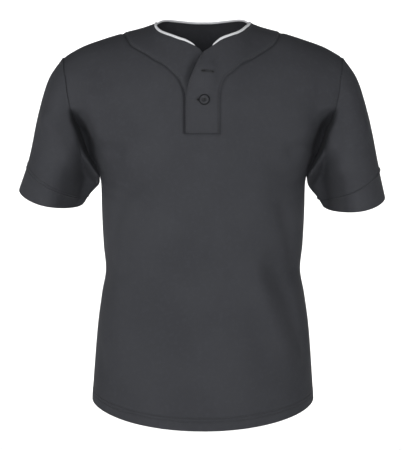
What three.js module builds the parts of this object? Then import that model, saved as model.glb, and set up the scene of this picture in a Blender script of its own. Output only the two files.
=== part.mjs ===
// A two-button baseball jersey, filled out as if worn, with nobody in it.
// Millimetres, +Z up. The front faces -Y and the viewer's right is +X.
// The origin is level with the neck's side points, midway across and midway in depth.

import * as THREE from 'three';

// Cloth thicknesses and the gap left at every seam
const CLOTH_WALL = 1.4;
const BAND_WALL = 2.0;
const SEAM_GAP = 0.3;

// Levels and roundness of the body
const ARMPIT_Z = -272;
const HEM_SIDE_Z = -673;
const HEM_DROP = 47.5;
const HEM_ROUND = 1.25;
const SECTION_POWER = 2.3;

// Front and back differ in how full the chest and shoulder blades are
const FRONT = { sign: -1, depth: 'front', roundness: 2.1 };
const BACK = { sign: 1, depth: 'back', roundness: 2.5 };

// The body's half sizes from the armpits down to the hem
const BODY = [
  { z: -730, halfWidth: 198.5, front: 133, back: 132 },
  { z: -672, halfWidth: 198, front: 131, back: 130 },
  { z: -614, halfWidth: 195, front: 128, back: 127 },
  { z: -542, halfWidth: 189.5, front: 122, back: 121 },
  { z: -484, halfWidth: 182, front: 116, back: 114 },
  { z: -441, halfWidth: 175, front: 112, back: 109 },
  { z: -398, halfWidth: 179, front: 117, back: 112 },
  { z: -340, halfWidth: 181.5, front: 123, back: 116 },
  { z: -292, halfWidth: 182.5, front: 125, back: 117.5 },
  { z: -272, halfWidth: 186, front: 126, back: 118 },
];

// The same section carried on past the armholes, from the armpits (0) to the shoulders (1)
const CHEST = [
  { up: 0, halfWidth: 186 },
  { up: 0.1, halfWidth: 202 },
  { up: 0.2, halfWidth: 219 },
  { up: 0.48, halfWidth: 264 },
  { up: 0.82, halfWidth: 306 },
  { up: 1, halfWidth: 325 },
];

// The shoulder line from the middle of the neck out past the armhole
const SHOULDER = [
  { x: 0, z: 50 },
  { x: 30, z: 46.5 },
  { x: 50, z: 35.5 },
  { x: 65, z: 22.5 },
  { x: 77, z: 9 },
  { x: 87, z: -1.5 },
  { x: 97, z: -6 },
  { x: 110, z: -10.2 },
  { x: 148, z: -20 },
  { x: 184, z: -31 },
  { x: 213, z: -41.5 },
  { x: 234, z: -52.5 },
  { x: 250, z: -63 },
  { x: 280, z: -90 },
];

// The armhole seam as the front shows it, from the armpit up
const ARMHOLE = [
  { x: 186, z: -272 },
  { x: 197, z: -254 },
  { x: 208, z: -233 },
  { x: 224, z: -193 },
  { x: 235, z: -160 },
  { x: 242, z: -125 },
  { x: 246, z: -90 },
  { x: 250, z: -62.5 },
];

// The neck
const NECK_HALF_WIDTH = 87;
const NECK_BACK_DEPTH = 52;

// The line that the back rises to inside the neck, and the smoother one that it rises to lower down
const NAPE = [
  { x: 0, z: 20 },
  { x: 30, z: 20 },
  { x: 60, z: 16 },
  { x: 75, z: 10 },
  { x: 87, z: -1.5 },
];
const BACK_SLOPE = [
  { x: 0, z: 22 },
  { x: 60, z: 10 },
  { x: 110, z: -8 },
  { x: 148, z: -20 },
];
const BACK_SLOPE_REACH = 148;
const BACK_SLOPE_FADE = 6;

// The seam between the front panel and each band, from the placket's foot up to the shoulder
const PLACKET_FOOT_Z = -205;
const BAND_SEAM_LEFT = [
  { x: -31, z: -205 },
  { x: -32, z: -140 },
  { x: -40, z: -113.5 },
  { x: -57.5, z: -93.5 },
  { x: -93, z: -68 },
  { x: -129, z: -43 },
  { x: -146, z: -19.4 },
];
const BAND_SEAM_RIGHT = [
  { x: 29.5, z: -205 },
  { x: 30.4, z: -137 },
  { x: 38.3, z: -109 },
  { x: 55, z: -93 },
  { x: 86, z: -72 },
  { x: 115.5, z: -51.7 },
  { x: 127, z: -41.6 },
  { x: 134, z: -30 },
  { x: 141, z: -17.8 },
];

// The inner edge of each band: the free edge of the placket, then the neckline up to the shoulder
const UNDER_EDGE = [
  { x: 25, z: -205 },
  { x: 25, z: -125 },
  { x: 20, z: -97 },
  { x: 12, z: -78 },
  { x: 3, z: -64 },
  { x: -8, z: -54 },
  { x: -25, z: -45 },
  { x: -43, z: -38.5 },
  { x: -69, z: -27.5 },
  { x: -81, z: -19.5 },
  { x: -86.5, z: -9.5 },
  { x: -87, z: -1.5 },
];
const OVER_EDGE = [
  { x: -29.5, z: -205 },
  { x: -29.3, z: -146 },
  { x: -27, z: -127 },
  { x: -16, z: -95 },
  { x: 1.6, z: -61 },
  { x: 8, z: -57 },
  { x: 17.3, z: -50.3 },
  { x: 28.6, z: -41.6 },
  { x: 47.3, z: -33 },
  { x: 63.4, z: -26.5 },
  { x: 73.4, z: -19.4 },
  { x: 84, z: -7.5 },
  { x: 87, z: -1.5 },
];

// Where the piping ends on each band
const UNDER_NECK_END = { x: -8, z: -54 };
const OVER_NECK_END = { x: 17.3, z: -50.3 };

// How the bands lie on each other
const BAND_PROUD = 0.7;
const OVERLAP_HALF = 30;
const OVERLAP_STEP = 2.6;
const LOOSE_LIFT = 5.6;
const LOOSE_Z = -96;
const LOOSE_REACH = 26;
const LOOSE_EASE = 18;

// Sleeves, from the armhole (0) to the cuff (1): outer and inner edge of each ring as the front shows
// them, half its depth, and how far its front hangs below its edges, its back rising somewhat less
const SLEEVE_LEFT = [
  { along: 0, outerX: 250, outerZ: -63, innerX: 186, innerZ: -272, halfDepth: 58, bow: 0 },
  { along: 0.2, outerX: 276, outerZ: -103, innerX: 187.5, innerZ: -286, halfDepth: 66, bow: 3 },
  { along: 0.45, outerX: 293, outerZ: -163, innerX: 197, innerZ: -297, halfDepth: 71, bow: 8 },
  { along: 0.75, outerX: 308, outerZ: -237, innerX: 207, innerZ: -308, halfDepth: 71, bow: 16 },
  { along: 1, outerX: 329, outerZ: -298, innerX: 215, innerZ: -321, halfDepth: 70, bow: 23 },
];
const SLEEVE_RIGHT = [
  { along: 0, outerX: 250, outerZ: -63, innerX: 186, innerZ: -272, halfDepth: 58, bow: 0 },
  { along: 0.2, outerX: 276.5, outerZ: -103, innerX: 189, innerZ: -287, halfDepth: 66, bow: 3 },
  { along: 0.45, outerX: 294.5, outerZ: -165, innerX: 197.5, innerZ: -300, halfDepth: 71, bow: 8 },
  { along: 0.75, outerX: 310.5, outerZ: -245, innerX: 208, innerZ: -312, halfDepth: 71, bow: 16 },
  { along: 1, outerX: 326, outerZ: -312, innerX: 216, innerZ: -325, halfDepth: 70, bow: 23 },
];
const BOW_SKEW = 0.2;
const UNDERARM_PULL = 0.7;
const UNDERARM_SHARPNESS = 8;

// The largest soft folds: a line in space, how wide it is, and how far it stands out (+) or in (-)
const FOLDS = [
  { from: [146, -98, -330], to: [172, -58, -436], width: 17, height: -6 },
  { from: [-148, -94, -320], to: [-170, -56, -424], width: 17, height: -4 },
  { from: [128, -96, -432], to: [182, -52, -590], width: 22, height: -8 },
  { from: [98, -110, -450], to: [150, -92, -610], width: 20, height: 5 },
  { from: [-158, -64, -400], to: [-152, -84, -590], width: 18, height: 5 },
  { from: [-176, -30, -392], to: [-174, -48, -470], width: 16, height: -6 },
  { from: [-166, -50, -286], to: [-120, -106, -300], width: 13, height: -4 },
  { from: [166, -50, -286], to: [130, -102, -302], width: 13, height: -4 },
  { from: [204, -62, -130], to: [196, -82, -180], width: 14, height: -4 },
  { from: [-196, -74, -140], to: [-186, -88, -210], width: 15, height: 4 },
  { from: [-200, -54, -210], to: [-150, -96, -236], width: 14, height: -5 },
  { from: [198, -56, -214], to: [156, -94, -232], width: 14, height: -5 },
  { from: [160, 70, -300], to: [96, 106, -370], width: 18, height: -6 },
  { from: [-166, 66, -310], to: [-110, 100, -400], width: 20, height: -6 },
  { from: [-60, 104, -400], to: [70, 100, -428], width: 18, height: -5 },
  { from: [150, 84, -450], to: [166, 80, -600], width: 22, height: -7 },
  { from: [-140, 88, -470], to: [-160, 88, -620], width: 22, height: 6 },
  { from: [-218, -64, -200], to: [-234, -62, -306], width: 15, height: -5 },
  { from: [220, -64, -194], to: [238, -62, -304], width: 15, height: -5 },
  { from: [282, -52, -190], to: [240, -66, -262], width: 14, height: -5 },
  { from: [-276, -56, -176], to: [-236, -68, -250], width: 14, height: -5 },
  { from: [274, 60, -180], to: [232, 66, -256], width: 14, height: -5 },
  { from: [-270, 62, -170], to: [-230, 66, -250], width: 14, height: -5 },
];

// How far the cloth is tucked in beside the armpits, as a share of the armhole's half depth
const TUCK_FRONT = 0.45;
const TUCK_BACK = 0.25;
const TUCK_TOP_Z = -160;
const TUCK_RISE = 52;
const TUCK_REACH = 15;

// Piping
const PIPING_HALF_WIDTH = 2.5;
const PIPING_HALF_HEIGHT = 1.7;
const PIPING_SIDES = 8;
const PIPING_TAPER = 22;
const PIPING_TIP = 0.25;

// Buttons
const BUTTON_RADIUS = 9.7;
const BUTTON_RIM = 2.4;
const BUTTON_THICKNESS = 2.8;
const BUTTON_DISH = 0.9;
const BUTTON_EDGE = 0.6;
const BUTTON_SIDES = 28;
const LOWER_BUTTON = { x: 2.1, z: -147 };
const UPPER_BUTTON = { x: 1, z: -97 };
const BUTTON_SEAT = 0.5;

// How finely the panels are divided
const ROWS_BELOW_ARMPIT = 16;
const ROWS_BELOW_PLACKET = 3;
const ROWS_BESIDE_PLACKET = 13;
const FRONT_COLUMNS = 10;
const BAND_COLUMNS = 5;
const SHOULDER_COLUMNS = 7;
const NECK_COLUMNS = 8;
const SLEEVE_ROWS = 10;

// Points closer than a twentieth of a millimetre are the same, and slopes are taken over a small step
const SPOTS_PER_MM = 20;
const SLOPE_STEP = 0.01;

// Colours and finishes
const charcoal = new THREE.MeshStandardMaterial({ color: 0x404144, roughness: 0.85, metalness: 0 });
const white = new THREE.MeshStandardMaterial({ color: 0xe8e8ea, roughness: 0.75, metalness: 0 });
const buttonGrey = new THREE.MeshStandardMaterial({ color: 0x46474a, roughness: 0.4, metalness: 0 });

const jersey = new THREE.Group();

// A smooth curve through one column of a table against another, with no overshoot between its rows
function curveThrough(rows, at, value) {
  const sorted = [...rows].sort((a, b) => a[at] - b[at]);
  const t = sorted.map((row) => row[at]);
  const v = sorted.map((row) => row[value]);
  const last = t.length - 1;
  const slopes = t.slice(1).map((next, k) => (v[k + 1] - v[k]) / (next - t[k]));
  const tangents = t.map((_, k) => {
    if (k === 0) return slopes[0];
    if (k === last) return slopes[last - 1];
    if (slopes[k - 1] * slopes[k] <= 0) return 0;
    return 2 * slopes[k - 1] * slopes[k] / (slopes[k - 1] + slopes[k]);
  });
  return (x) => {
    const inside = Math.min(Math.max(x, t[0]), t[last]);
    let k = 0;
    while (k < last - 1 && inside > t[k + 1]) k += 1;
    const span = t[k + 1] - t[k];
    const u = (inside - t[k]) / span;
    const w = u * u * (3 - 2 * u);
    const rise = u * (1 - u) * span * (tangents[k] * (1 - u) - tangents[k + 1] * u);
    return v[k] * (1 - w) + v[k + 1] * w + rise;
  };
}

const bodyHalfWidth = curveThrough(BODY, 'z', 'halfWidth');
const bodyDepth = {
  front: curveThrough(BODY, 'z', 'front'),
  back: curveThrough(BODY, 'z', 'back'),
};
const chestHalfWidth = curveThrough(CHEST, 'up', 'halfWidth');
const shoulderZ = curveThrough(SHOULDER, 'x', 'z');
const napeZ = curveThrough(NAPE, 'x', 'z');
const backSlopeZ = curveThrough(BACK_SLOPE, 'x', 'z');

const mix = (a, b, t) => a + (b - a) * t;
const clamp = (t) => Math.min(Math.max(t, 0), 1);
const ease = (t) => clamp(t) * clamp(t) * (3 - 2 * clamp(t));

// Fractions from 0 to 1 in even steps, both ends included
const fractions = (count) => Array.from({ length: count + 1 }, (_, k) => k / count);

// How full a section is at a fraction of its half width
const fullness = (q) => Math.max(0, 1 - Math.abs(q) ** SECTION_POWER) ** (1 / SECTION_POWER);

// The height that a face rises to at a distance from the middle. The back has its own near the neck.
function topZ(face, x, up) {
  if (face !== BACK || x > BACK_SLOPE_REACH) return shoulderZ(x);
  const sharp = x < NECK_HALF_WIDTH ? napeZ(x) : shoulderZ(x);
  return mix(backSlopeZ(x), sharp, up ** BACK_SLOPE_FADE);
}

// Rows run from -1 at the hem through 0 at the armpits to 1 on the shoulder line
const rowUp = (face, row) => Math.sin(row * Math.PI / 2) ** (2 / face.roundness);
const rowIn = (face, row) => Math.abs(Math.cos(row * Math.PI / 2)) ** (2 / face.roundness);

const rowFromUp = (face, up) => Math.asin(clamp(up) ** (face.roundness / 2)) * 2 / Math.PI;

// The row of the body's face that passes through a point of the front view
function rowAt(face, x, z) {
  return rowFromUp(face, (z - ARMPIT_Z) / (shoulderZ(Math.abs(x)) - ARMPIT_Z));
}

// The row at which the back of the neck edge lies, at a distance from the middle
function backNeckRow(x) {
  const inside = clamp(1 - (x / NECK_HALF_WIDTH) ** 2);
  const depth = NECK_BACK_DEPTH * Math.sqrt(inside);
  const share = clamp(depth / bodyDepth.back(ARMPIT_Z));
  return Math.acos(share ** (BACK.roundness / 2)) * 2 / Math.PI;
}

// The plain body without folds, at a fraction of its half width
function plainBody(face, q, row) {
  const across = Math.min(Math.max(q, -1), 1);
  if (row < 0) {
    const hemZ = HEM_SIDE_Z - HEM_DROP * (1 - across * across) ** (HEM_ROUND / 2);
    const z = mix(ARMPIT_Z, hemZ, -row);
    const y = face.sign * bodyDepth[face.depth](z) * fullness(across);
    return new THREE.Vector3(across * bodyHalfWidth(z), y, z);
  }
  const up = rowUp(face, row);
  const x = across * chestHalfWidth(up);
  const y = face.sign * bodyDepth[face.depth](ARMPIT_Z) * rowIn(face, row) * fullness(across);
  return new THREE.Vector3(x, y, mix(ARMPIT_Z, topZ(face, Math.abs(x), up), up));
}

// An edge table turned into a curve of x against row
function edgeAgainstRow(face, table) {
  const rows = table.map(({ x, z }) => ({ row: rowAt(face, x, z), x }));
  return curveThrough(rows, 'row', 'x');
}

const armholeX = {
  front: edgeAgainstRow(FRONT, ARMHOLE),
  back: edgeAgainstRow(BACK, ARMHOLE),
};
const seamLeftX = edgeAgainstRow(FRONT, BAND_SEAM_LEFT);
const seamRightX = edgeAgainstRow(FRONT, BAND_SEAM_RIGHT);
const underEdgeX = edgeAgainstRow(FRONT, UNDER_EDGE);
const overEdgeX = edgeAgainstRow(FRONT, OVER_EDGE);
const PLACKET_ROW = rowAt(FRONT, 0, PLACKET_FOOT_Z);

// The half width that fractions refer to, and the fraction at which the panel's edge lies
function sectionHalfWidth(face, row) {
  return row < 0 ? bodyHalfWidth(mix(ARMPIT_Z, HEM_SIDE_Z, -row)) : chestHalfWidth(rowUp(face, row));
}
function edgeFraction(face, row) {
  return row <= 0 ? 1 : armholeX[face.depth](row) / sectionHalfWidth(face, row);
}

// How far all folds together move a point of the cloth outwards
const foldLines = FOLDS.map((fold) => ({
  ...fold,
  line: new THREE.Line3(new THREE.Vector3(...fold.from), new THREE.Vector3(...fold.to)),
}));
function foldHeight(point) {
  const nearest = new THREE.Vector3();
  let height = 0;
  for (const { line, width, height: most } of foldLines) {
    line.closestPointToPoint(point, true, nearest);
    height += most * Math.exp(-((nearest.distanceTo(point) / width) ** 2));
  }
  return height;
}

// A point near an armhole seam, tucked towards the middle of the depth beside the armpit
function tucked(point, seam) {
  const share = seam.y < 0 ? TUCK_FRONT : TUCK_BACK;
  const deep = share * seam.y * ease((TUCK_TOP_Z - seam.z) / TUCK_RISE);
  const near = Math.exp(-((point.distanceTo(seam) / TUCK_REACH) ** 2));
  return point.clone().setY(point.y - deep * near);
}
function tuckedRow(points, row) {
  if (row <= 0) return points;
  return points.map((point) => tucked(tucked(point, points[0]), points.at(-1)));
}

// The rows shared by the front, the back and the sleeves
const rowsBelow = fractions(ROWS_BELOW_ARMPIT).slice(0, -1).map((t) => t - 1);
const rowsToPlacket = fractions(ROWS_BELOW_PLACKET).slice(0, -1).map((t) => t * PLACKET_ROW);
const rowsBeside = fractions(ROWS_BESIDE_PLACKET).map((t) => mix(PLACKET_ROW, 1, t));
const frontRowsAbove = [...rowsToPlacket, ...rowsBeside];
const backRowsAbove = frontRowsAbove.map((row) => rowFromUp(BACK, rowUp(FRONT, row)));
const frontRows = [...rowsBelow, ...frontRowsAbove];
const backRows = [...rowsBelow, ...backRowsAbove];

// Fractions of the half width in columns that are evenly spaced round the section
function columnsBetween(from, to, count) {
  const [start, end] = [Math.asin(from), Math.asin(to)];
  return fractions(count).map((t) => Math.sin(mix(start, end, t)));
}

// A sheet is a table of points: rows of nodes, each with a place and an inward direction
function sheetOf(places, closed = false) {
  const rows = places.length;
  const columns = places[0].length;
  const at = (j, i) => places[j][closed ? (i + columns) % columns : Math.min(Math.max(i, 0), columns - 1)];
  return places.map((line, j) => line.map((place, i) => {
    const along = at(j, i + 1).clone().sub(at(j, i - 1));
    const up = at(Math.min(j + 1, rows - 1), i).clone().sub(at(Math.max(j - 1, 0), i));
    return { place, inward: up.cross(along).normalize() };
  }));
}

// Sheets meet in shared points, where they get one inward direction
const shared = new Map();
const spot = ({ place }) => place.toArray().map((n) => Math.round(n * SPOTS_PER_MM)).join(' ');
function share(sheet, weight = () => 1) {
  sheet.forEach((line, j) => line.forEach((node, i) => {
    if (!shared.has(spot(node))) shared.set(spot(node), new THREE.Vector3());
    shared.get(spot(node)).addScaledVector(node.inward, weight(j, i));
  }));
}
function settle(sheet) {
  sheet.flat().forEach((node) => {
    node.inward = shared.get(spot(node)).clone().normalize();
    node.place = node.place.clone().addScaledVector(node.inward, -foldHeight(node.place));
  });
}

// The closed wall of a sheet: its kept cells, with side faces along every edge
function wallOf(sheet, { wall, keep = () => true, closed = false, pull = () => SEAM_GAP / 2 }) {
  const rows = sheet.length - 1;
  const columns = closed ? sheet[0].length : sheet[0].length - 1;
  const wrap = (i) => (closed ? (i + columns) % columns : i);
  const kept = (j, i) => j >= 0 && j < rows && (closed || (i >= 0 && i < columns)) && keep(j, wrap(i));
  const node = (j, i) => sheet[j][wrap(i)];
  const points = [];
  const seen = new Map();

  function corner(j, i, inner) {
    const key = `${j} ${wrap(i)} ${inner}`;
    if (seen.has(key)) return seen.get(key);
    const { place, inward } = node(j, i);
    const cells = [[kept(j - 1, i - 1), kept(j - 1, i)], [kept(j, i - 1), kept(j, i)]];
    const steps = [];
    if (cells[0][0] !== cells[0][1] || cells[1][0] !== cells[1][1]) {
      const right = cells[0][0] !== cells[0][1] ? cells[0][1] : cells[1][1];
      steps.push(node(j, i + (right ? 1 : -1)).place);
    }
    if (cells[0][0] !== cells[1][0] || cells[0][1] !== cells[1][1]) {
      const above = cells[0][0] !== cells[1][0] ? cells[1][0] : cells[1][1];
      steps.push(node(j + (above ? 1 : -1), i).place);
    }
    const point = place.clone();
    steps.forEach((to) => point.addScaledVector(to.clone().sub(place).normalize(), pull(j, i)));
    if (inner) point.addScaledVector(inward, wall);
    seen.set(key, points.length / 3);
    points.push(...point.toArray());
    return seen.get(key);
  }

  const faces = [];
  const quad = (a, b, c, d) => faces.push(a, b, c, a, c, d);
  for (let j = 0; j < rows; j += 1) {
    for (let i = 0; i < columns; i += 1) {
      if (!kept(j, i)) continue;
      const around = [[j, i], [j, i + 1], [j + 1, i + 1], [j + 1, i]];
      const outer = around.map((place) => corner(...place, false));
      const inner = around.map((place) => corner(...place, true));
      quad(...outer);
      quad(inner[0], inner[3], inner[2], inner[1]);
      const beyond = [kept(j - 1, i), kept(j, i + 1), kept(j + 1, i), kept(j, i - 1)];
      beyond.forEach((open, k) => {
        const next = (k + 1) % 4;
        if (!open) quad(outer[k], inner[k], inner[next], outer[next]);
      });
    }
  }
  return solidFrom(points, faces);
}

// A geometry with its faces turned outwards
function solidFrom(points, faces) {
  const vertex = (k) => new THREE.Vector3().fromArray(points, 3 * k);
  let volume = 0;
  for (let k = 0; k < faces.length; k += 3) {
    volume += vertex(faces[k]).dot(vertex(faces[k + 1]).cross(vertex(faces[k + 2])));
  }
  const outward = volume > 0 ? faces : faces.toReversed();
  const geometry = new THREE.BufferGeometry();
  geometry.setAttribute('position', new THREE.Float32BufferAttribute(points, 3));
  geometry.setIndex(outward);
  return geometry;
}

function addPiece(name, geometry, material) {
  const mesh = new THREE.Mesh(geometry, material);
  mesh.name = name;
  jersey.add(mesh);
  return mesh;
}

// Front panel: side or armhole edge, band seam, band seam, side or armhole edge
function frontPlaces() {
  return frontRows.map((row) => {
    const width = sectionHalfWidth(FRONT, row);
    const edge = edgeFraction(FRONT, row);
    const seamRow = Math.max(row, PLACKET_ROW);
    const left = seamLeftX(seamRow) / width;
    const right = seamRightX(seamRow) / width;
    const across = [
      ...columnsBetween(-edge, left, FRONT_COLUMNS).slice(0, -1),
      ...columnsBetween(left, right, BAND_COLUMNS).slice(0, -1),
      ...columnsBetween(right, edge, FRONT_COLUMNS),
    ];
    return tuckedRow(across.map((q) => plainBody(FRONT, q, row)), row);
  });
}

// Back panel: its top follows the shoulder seam, then dips for the neck
function backPlaces() {
  return backRows.map((row) => {
    const width = sectionHalfWidth(BACK, row);
    const edge = edgeFraction(BACK, row);
    const neck = NECK_HALF_WIDTH / width;
    const neckTurns = fractions(2 * NECK_COLUMNS).map((t) => 2 * t - 1);
    const across = [
      ...columnsBetween(-edge, -neck, SHOULDER_COLUMNS).slice(0, -1),
      ...neckTurns.map((turn) => neck * Math.sin(turn * Math.PI / 2)),
      ...columnsBetween(neck, edge, SHOULDER_COLUMNS).slice(1),
    ];
    const points = across.reverse().map((q) => {
      const top = Math.abs(q) < neck ? backNeckRow(q * width) : 1;
      return plainBody(BACK, q, row > 0 ? row * top : row);
    });
    return tuckedRow(points, row);
  });
}

// One ring of a sleeve at an angle: 0 on the outer edge, a quarter turn at the front
function sleeveRing(table, side) {
  const column = (name) => curveThrough(table, 'along', name);
  const [outerX, outerZ, innerX, innerZ] = ['outerX', 'outerZ', 'innerX', 'innerZ'].map(column);
  const [halfDepth, bow] = ['halfDepth', 'bow'].map(column);
  return (along, angle) => {
    const outer = new THREE.Vector2(outerX(along), outerZ(along));
    const inner = new THREE.Vector2(innerX(along), innerZ(along));
    const middle = outer.clone().add(inner).multiplyScalar(0.5);
    const half = outer.clone().sub(inner).multiplyScalar(0.5);
    const down = new THREE.Vector2(half.y, -half.x).normalize();
    const forward = Math.sin(angle);
    const hang = bow(along) * (forward * (1 - BOW_SKEW) + forward * forward * BOW_SKEW);
    const flat = middle.addScaledVector(half, Math.cos(angle)).addScaledVector(down, hang);
    return new THREE.Vector3(side * flat.x, -halfDepth(along) * forward, flat.y);
  };
}

// The armhole: up the front from the armpit to the shoulder, and down the back
function armholeLoop(side) {
  const edge = (face) => (row) => plainBody(face, side * edgeFraction(face, row), row);
  const front = frontRowsAbove.map(edge(FRONT));
  const back = backRowsAbove.map(edge(BACK)).reverse();
  return [...front, ...back.slice(1, -1)];
}

function sleevePlaces(table, side) {
  const ring = sleeveRing(table, side);
  const loop = armholeLoop(side);
  const outer = ring(0, 0);
  const middle = outer.clone().add(ring(0, Math.PI)).multiplyScalar(0.5);
  const half = outer.clone().sub(middle);
  const angles = loop.map((point, k) => {
    const share = point.clone().sub(middle).dot(half) / half.lengthSq();
    const turn = Math.acos(Math.min(Math.max(share, -1), 1));
    return k < frontRowsAbove.length ? turn : -turn;
  });
  return fractions(SLEEVE_ROWS).map((along) => {
    const fade = (1 - along) ** 2;
    return loop.map((point, i) => {
      const offset = point.clone().sub(ring(0, angles[i]));
      return tucked(ring(along, angles[i]).addScaledVector(offset, fade), point);
    });
  });
}

// How far a band stands outside the body's face
function underLift(x) {
  return BAND_PROUD - OVERLAP_STEP * clamp((x + OVERLAP_HALF) / (2 * OVERLAP_HALF));
}
function overLift(x, z) {
  const step = OVERLAP_STEP * clamp((OVERLAP_HALF - x) / (2 * OVERLAP_HALF));
  const loose = LOOSE_LIFT * Math.exp(-(((z - LOOSE_Z) / LOOSE_REACH) ** 2));
  return BAND_PROUD + step + loose * ease((OVERLAP_HALF - x) / LOOSE_EASE);
}

// Outward direction of the front's plain face
function frontOutward(q, row) {
  const low = Math.max(row - SLOPE_STEP, -1);
  const high = Math.min(row + SLOPE_STEP, 1);
  const up = plainBody(FRONT, q, high).sub(plainBody(FRONT, q, low));
  const along = plainBody(FRONT, q + SLOPE_STEP, row).sub(plainBody(FRONT, q - SLOPE_STEP, row));
  return along.cross(up).normalize();
}

// A point of the front's face in a row, moved out by a lift
function onFront(x, row, lift) {
  const q = x / sectionHalfWidth(FRONT, row);
  const point = plainBody(FRONT, q, row);
  const outward = frontOutward(q, row);
  return point.addScaledVector(outward, foldHeight(point) + lift(x, point.z));
}

function bandPlaces(seamX, edgeX, lift) {
  return rowsBeside.map((row) => fractions(BAND_COLUMNS).map((across) => {
    const x = mix(seamX(row), edgeX(row), across);
    return onFront(x, row, lift);
  }));
}

// The neck edge from the lower band's end, round the back, to the upper band's end
function neckEdge(under, over, back) {
  const neckline = (sheet, end) => sheet.filter((_, j) => rowsBeside[j] > end).map((line) => line.at(-1));
  const backTop = back.at(-1).slice(SHOULDER_COLUMNS + 1, SHOULDER_COLUMNS + 2 * NECK_COLUMNS);
  return [
    ...neckline(under, rowAt(FRONT, UNDER_NECK_END.x, UNDER_NECK_END.z)),
    ...backTop.reverse(),
    ...neckline(over, rowAt(FRONT, OVER_NECK_END.x, OVER_NECK_END.z)).reverse(),
  ];
}

// Piping: a flattened tube beside the neck edge, tapering to a point at each end
function pipingSolid(edge) {
  const middle = new THREE.Vector3();
  edge.forEach(({ place }) => middle.addScaledVector(place, 1 / edge.length));
  const lengths = [0];
  edge.slice(1).forEach(({ place }, k) => lengths.push(lengths[k] + place.distanceTo(edge[k].place)));
  const total = lengths.at(-1);
  const last = edge.length - 1;
  const points = [];
  const faces = [];
  edge.forEach(({ place, inward }, k) => {
    const before = edge[Math.max(k - 1, 0)].place;
    const after = edge[Math.min(k + 1, last)].place;
    const away = after.clone().sub(before).cross(inward).normalize();
    if (away.dot(middle.clone().sub(place)) < 0) away.negate();
    const toEnd = Math.min(lengths[k], total - lengths[k]);
    const size = mix(PIPING_TIP, 1, Math.sqrt(clamp(toEnd / PIPING_TAPER)));
    const centre = place.clone()
      .addScaledVector(away, PIPING_HALF_WIDTH * size + SEAM_GAP)
      .addScaledVector(inward, CLOTH_WALL / 2);
    for (let s = 0; s < PIPING_SIDES; s += 1) {
      const angle = 2 * Math.PI * s / PIPING_SIDES;
      const corner = centre.clone()
        .addScaledVector(away, PIPING_HALF_WIDTH * size * Math.cos(angle))
        .addScaledVector(inward, PIPING_HALF_HEIGHT * size * Math.sin(angle));
      points.push(...corner.toArray());
    }
  });
  const index = (k, s) => k * PIPING_SIDES + (s % PIPING_SIDES);
  for (let k = 0; k < last; k += 1) {
    for (let s = 0; s < PIPING_SIDES; s += 1) {
      faces.push(index(k, s), index(k, s + 1), index(k + 1, s + 1));
      faces.push(index(k, s), index(k + 1, s + 1), index(k + 1, s));
    }
  }
  for (let s = 1; s < PIPING_SIDES - 1; s += 1) {
    faces.push(index(0, 0), index(0, s + 1), index(0, s));
    faces.push(index(last, 0), index(last, s), index(last, s + 1));
  }
  return solidFrom(points, faces);
}

// A button: a flat disc with a raised rim round a dished middle
function buttonSolid() {
  const rimInner = BUTTON_RADIUS - BUTTON_RIM;
  const profile = [
    [0, 0],
    [BUTTON_RADIUS - BUTTON_EDGE, 0],
    [BUTTON_RADIUS, BUTTON_EDGE],
    [BUTTON_RADIUS, BUTTON_THICKNESS - BUTTON_EDGE],
    [BUTTON_RADIUS - BUTTON_EDGE, BUTTON_THICKNESS],
    [rimInner + BUTTON_EDGE, BUTTON_THICKNESS],
    [rimInner - BUTTON_EDGE, BUTTON_THICKNESS - BUTTON_DISH],
    [0, BUTTON_THICKNESS - BUTTON_DISH],
  ];
  return new THREE.LatheGeometry(profile.map(([r, h]) => new THREE.Vector2(r, h)), BUTTON_SIDES);
}

function addButton(name, { x, z }, lift) {
  const row = rowAt(FRONT, x, z);
  const mesh = addPiece(name, buttonSolid(), buttonGrey);
  const outward = frontOutward(x / sectionHalfWidth(FRONT, row), row);
  mesh.position.copy(onFront(x, row, (...place) => lift(...place) + BUTTON_SEAT));
  mesh.quaternion.setFromUnitVectors(new THREE.Vector3(0, 1, 0), outward);
}

// Body and sleeves share their seam points, so their walls are settled together. At the armpits and on
// the shoulders a sleeve meets two panels, and counts as two.
const front = sheetOf(frontPlaces());
const back = sheetOf(backPlaces());
const sleeveLeft = sheetOf(sleevePlaces(SLEEVE_LEFT, -1), true);
const sleeveRight = sheetOf(sleevePlaces(SLEEVE_RIGHT, 1), true);
sleeveRight.flat().forEach((node) => node.inward.negate());
const armholeSpan = frontRowsAbove.length - 1;
const sleeveWeight = (j, i) => (j === 0 && i % armholeSpan === 0 ? 2 : 1);
share(front);
share(back);
share(sleeveLeft, sleeveWeight);
share(sleeveRight, sleeveWeight);
[front, back, sleeveLeft, sleeveRight].forEach(settle);

const placketRow = ROWS_BELOW_ARMPIT + ROWS_BELOW_PLACKET;
const besideBands = (j, i) => j < placketRow || i < FRONT_COLUMNS || i >= FRONT_COLUMNS + BAND_COLUMNS;
addPiece('front', wallOf(front, { wall: CLOTH_WALL, keep: besideBands }), charcoal);
addPiece('back', wallOf(back, { wall: CLOTH_WALL }), charcoal);

// A sleeve is pulled a little further off the armhole under the arm, where the cloth folds sharply
const sleevePull = (j, i) => {
  const turn = i / (2 * armholeSpan);
  return SEAM_GAP / 2 + (j === 0 ? UNDERARM_PULL * Math.cos(Math.PI * turn) ** UNDERARM_SHARPNESS : 0);
};
const sleeveWall = { wall: CLOTH_WALL, closed: true, pull: sleevePull };
addPiece('sleeve_left', wallOf(sleeveLeft, sleeveWall), charcoal);
addPiece('sleeve_right', wallOf(sleeveRight, sleeveWall), charcoal);

const under = sheetOf(bandPlaces(seamLeftX, underEdgeX, underLift));
const over = sheetOf(bandPlaces(seamRightX, overEdgeX, overLift));
over.flat().forEach((node) => node.inward.negate());
addPiece('band_under', wallOf(under, { wall: BAND_WALL }), charcoal);
addPiece('band_over', wallOf(over, { wall: BAND_WALL }), charcoal);

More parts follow.
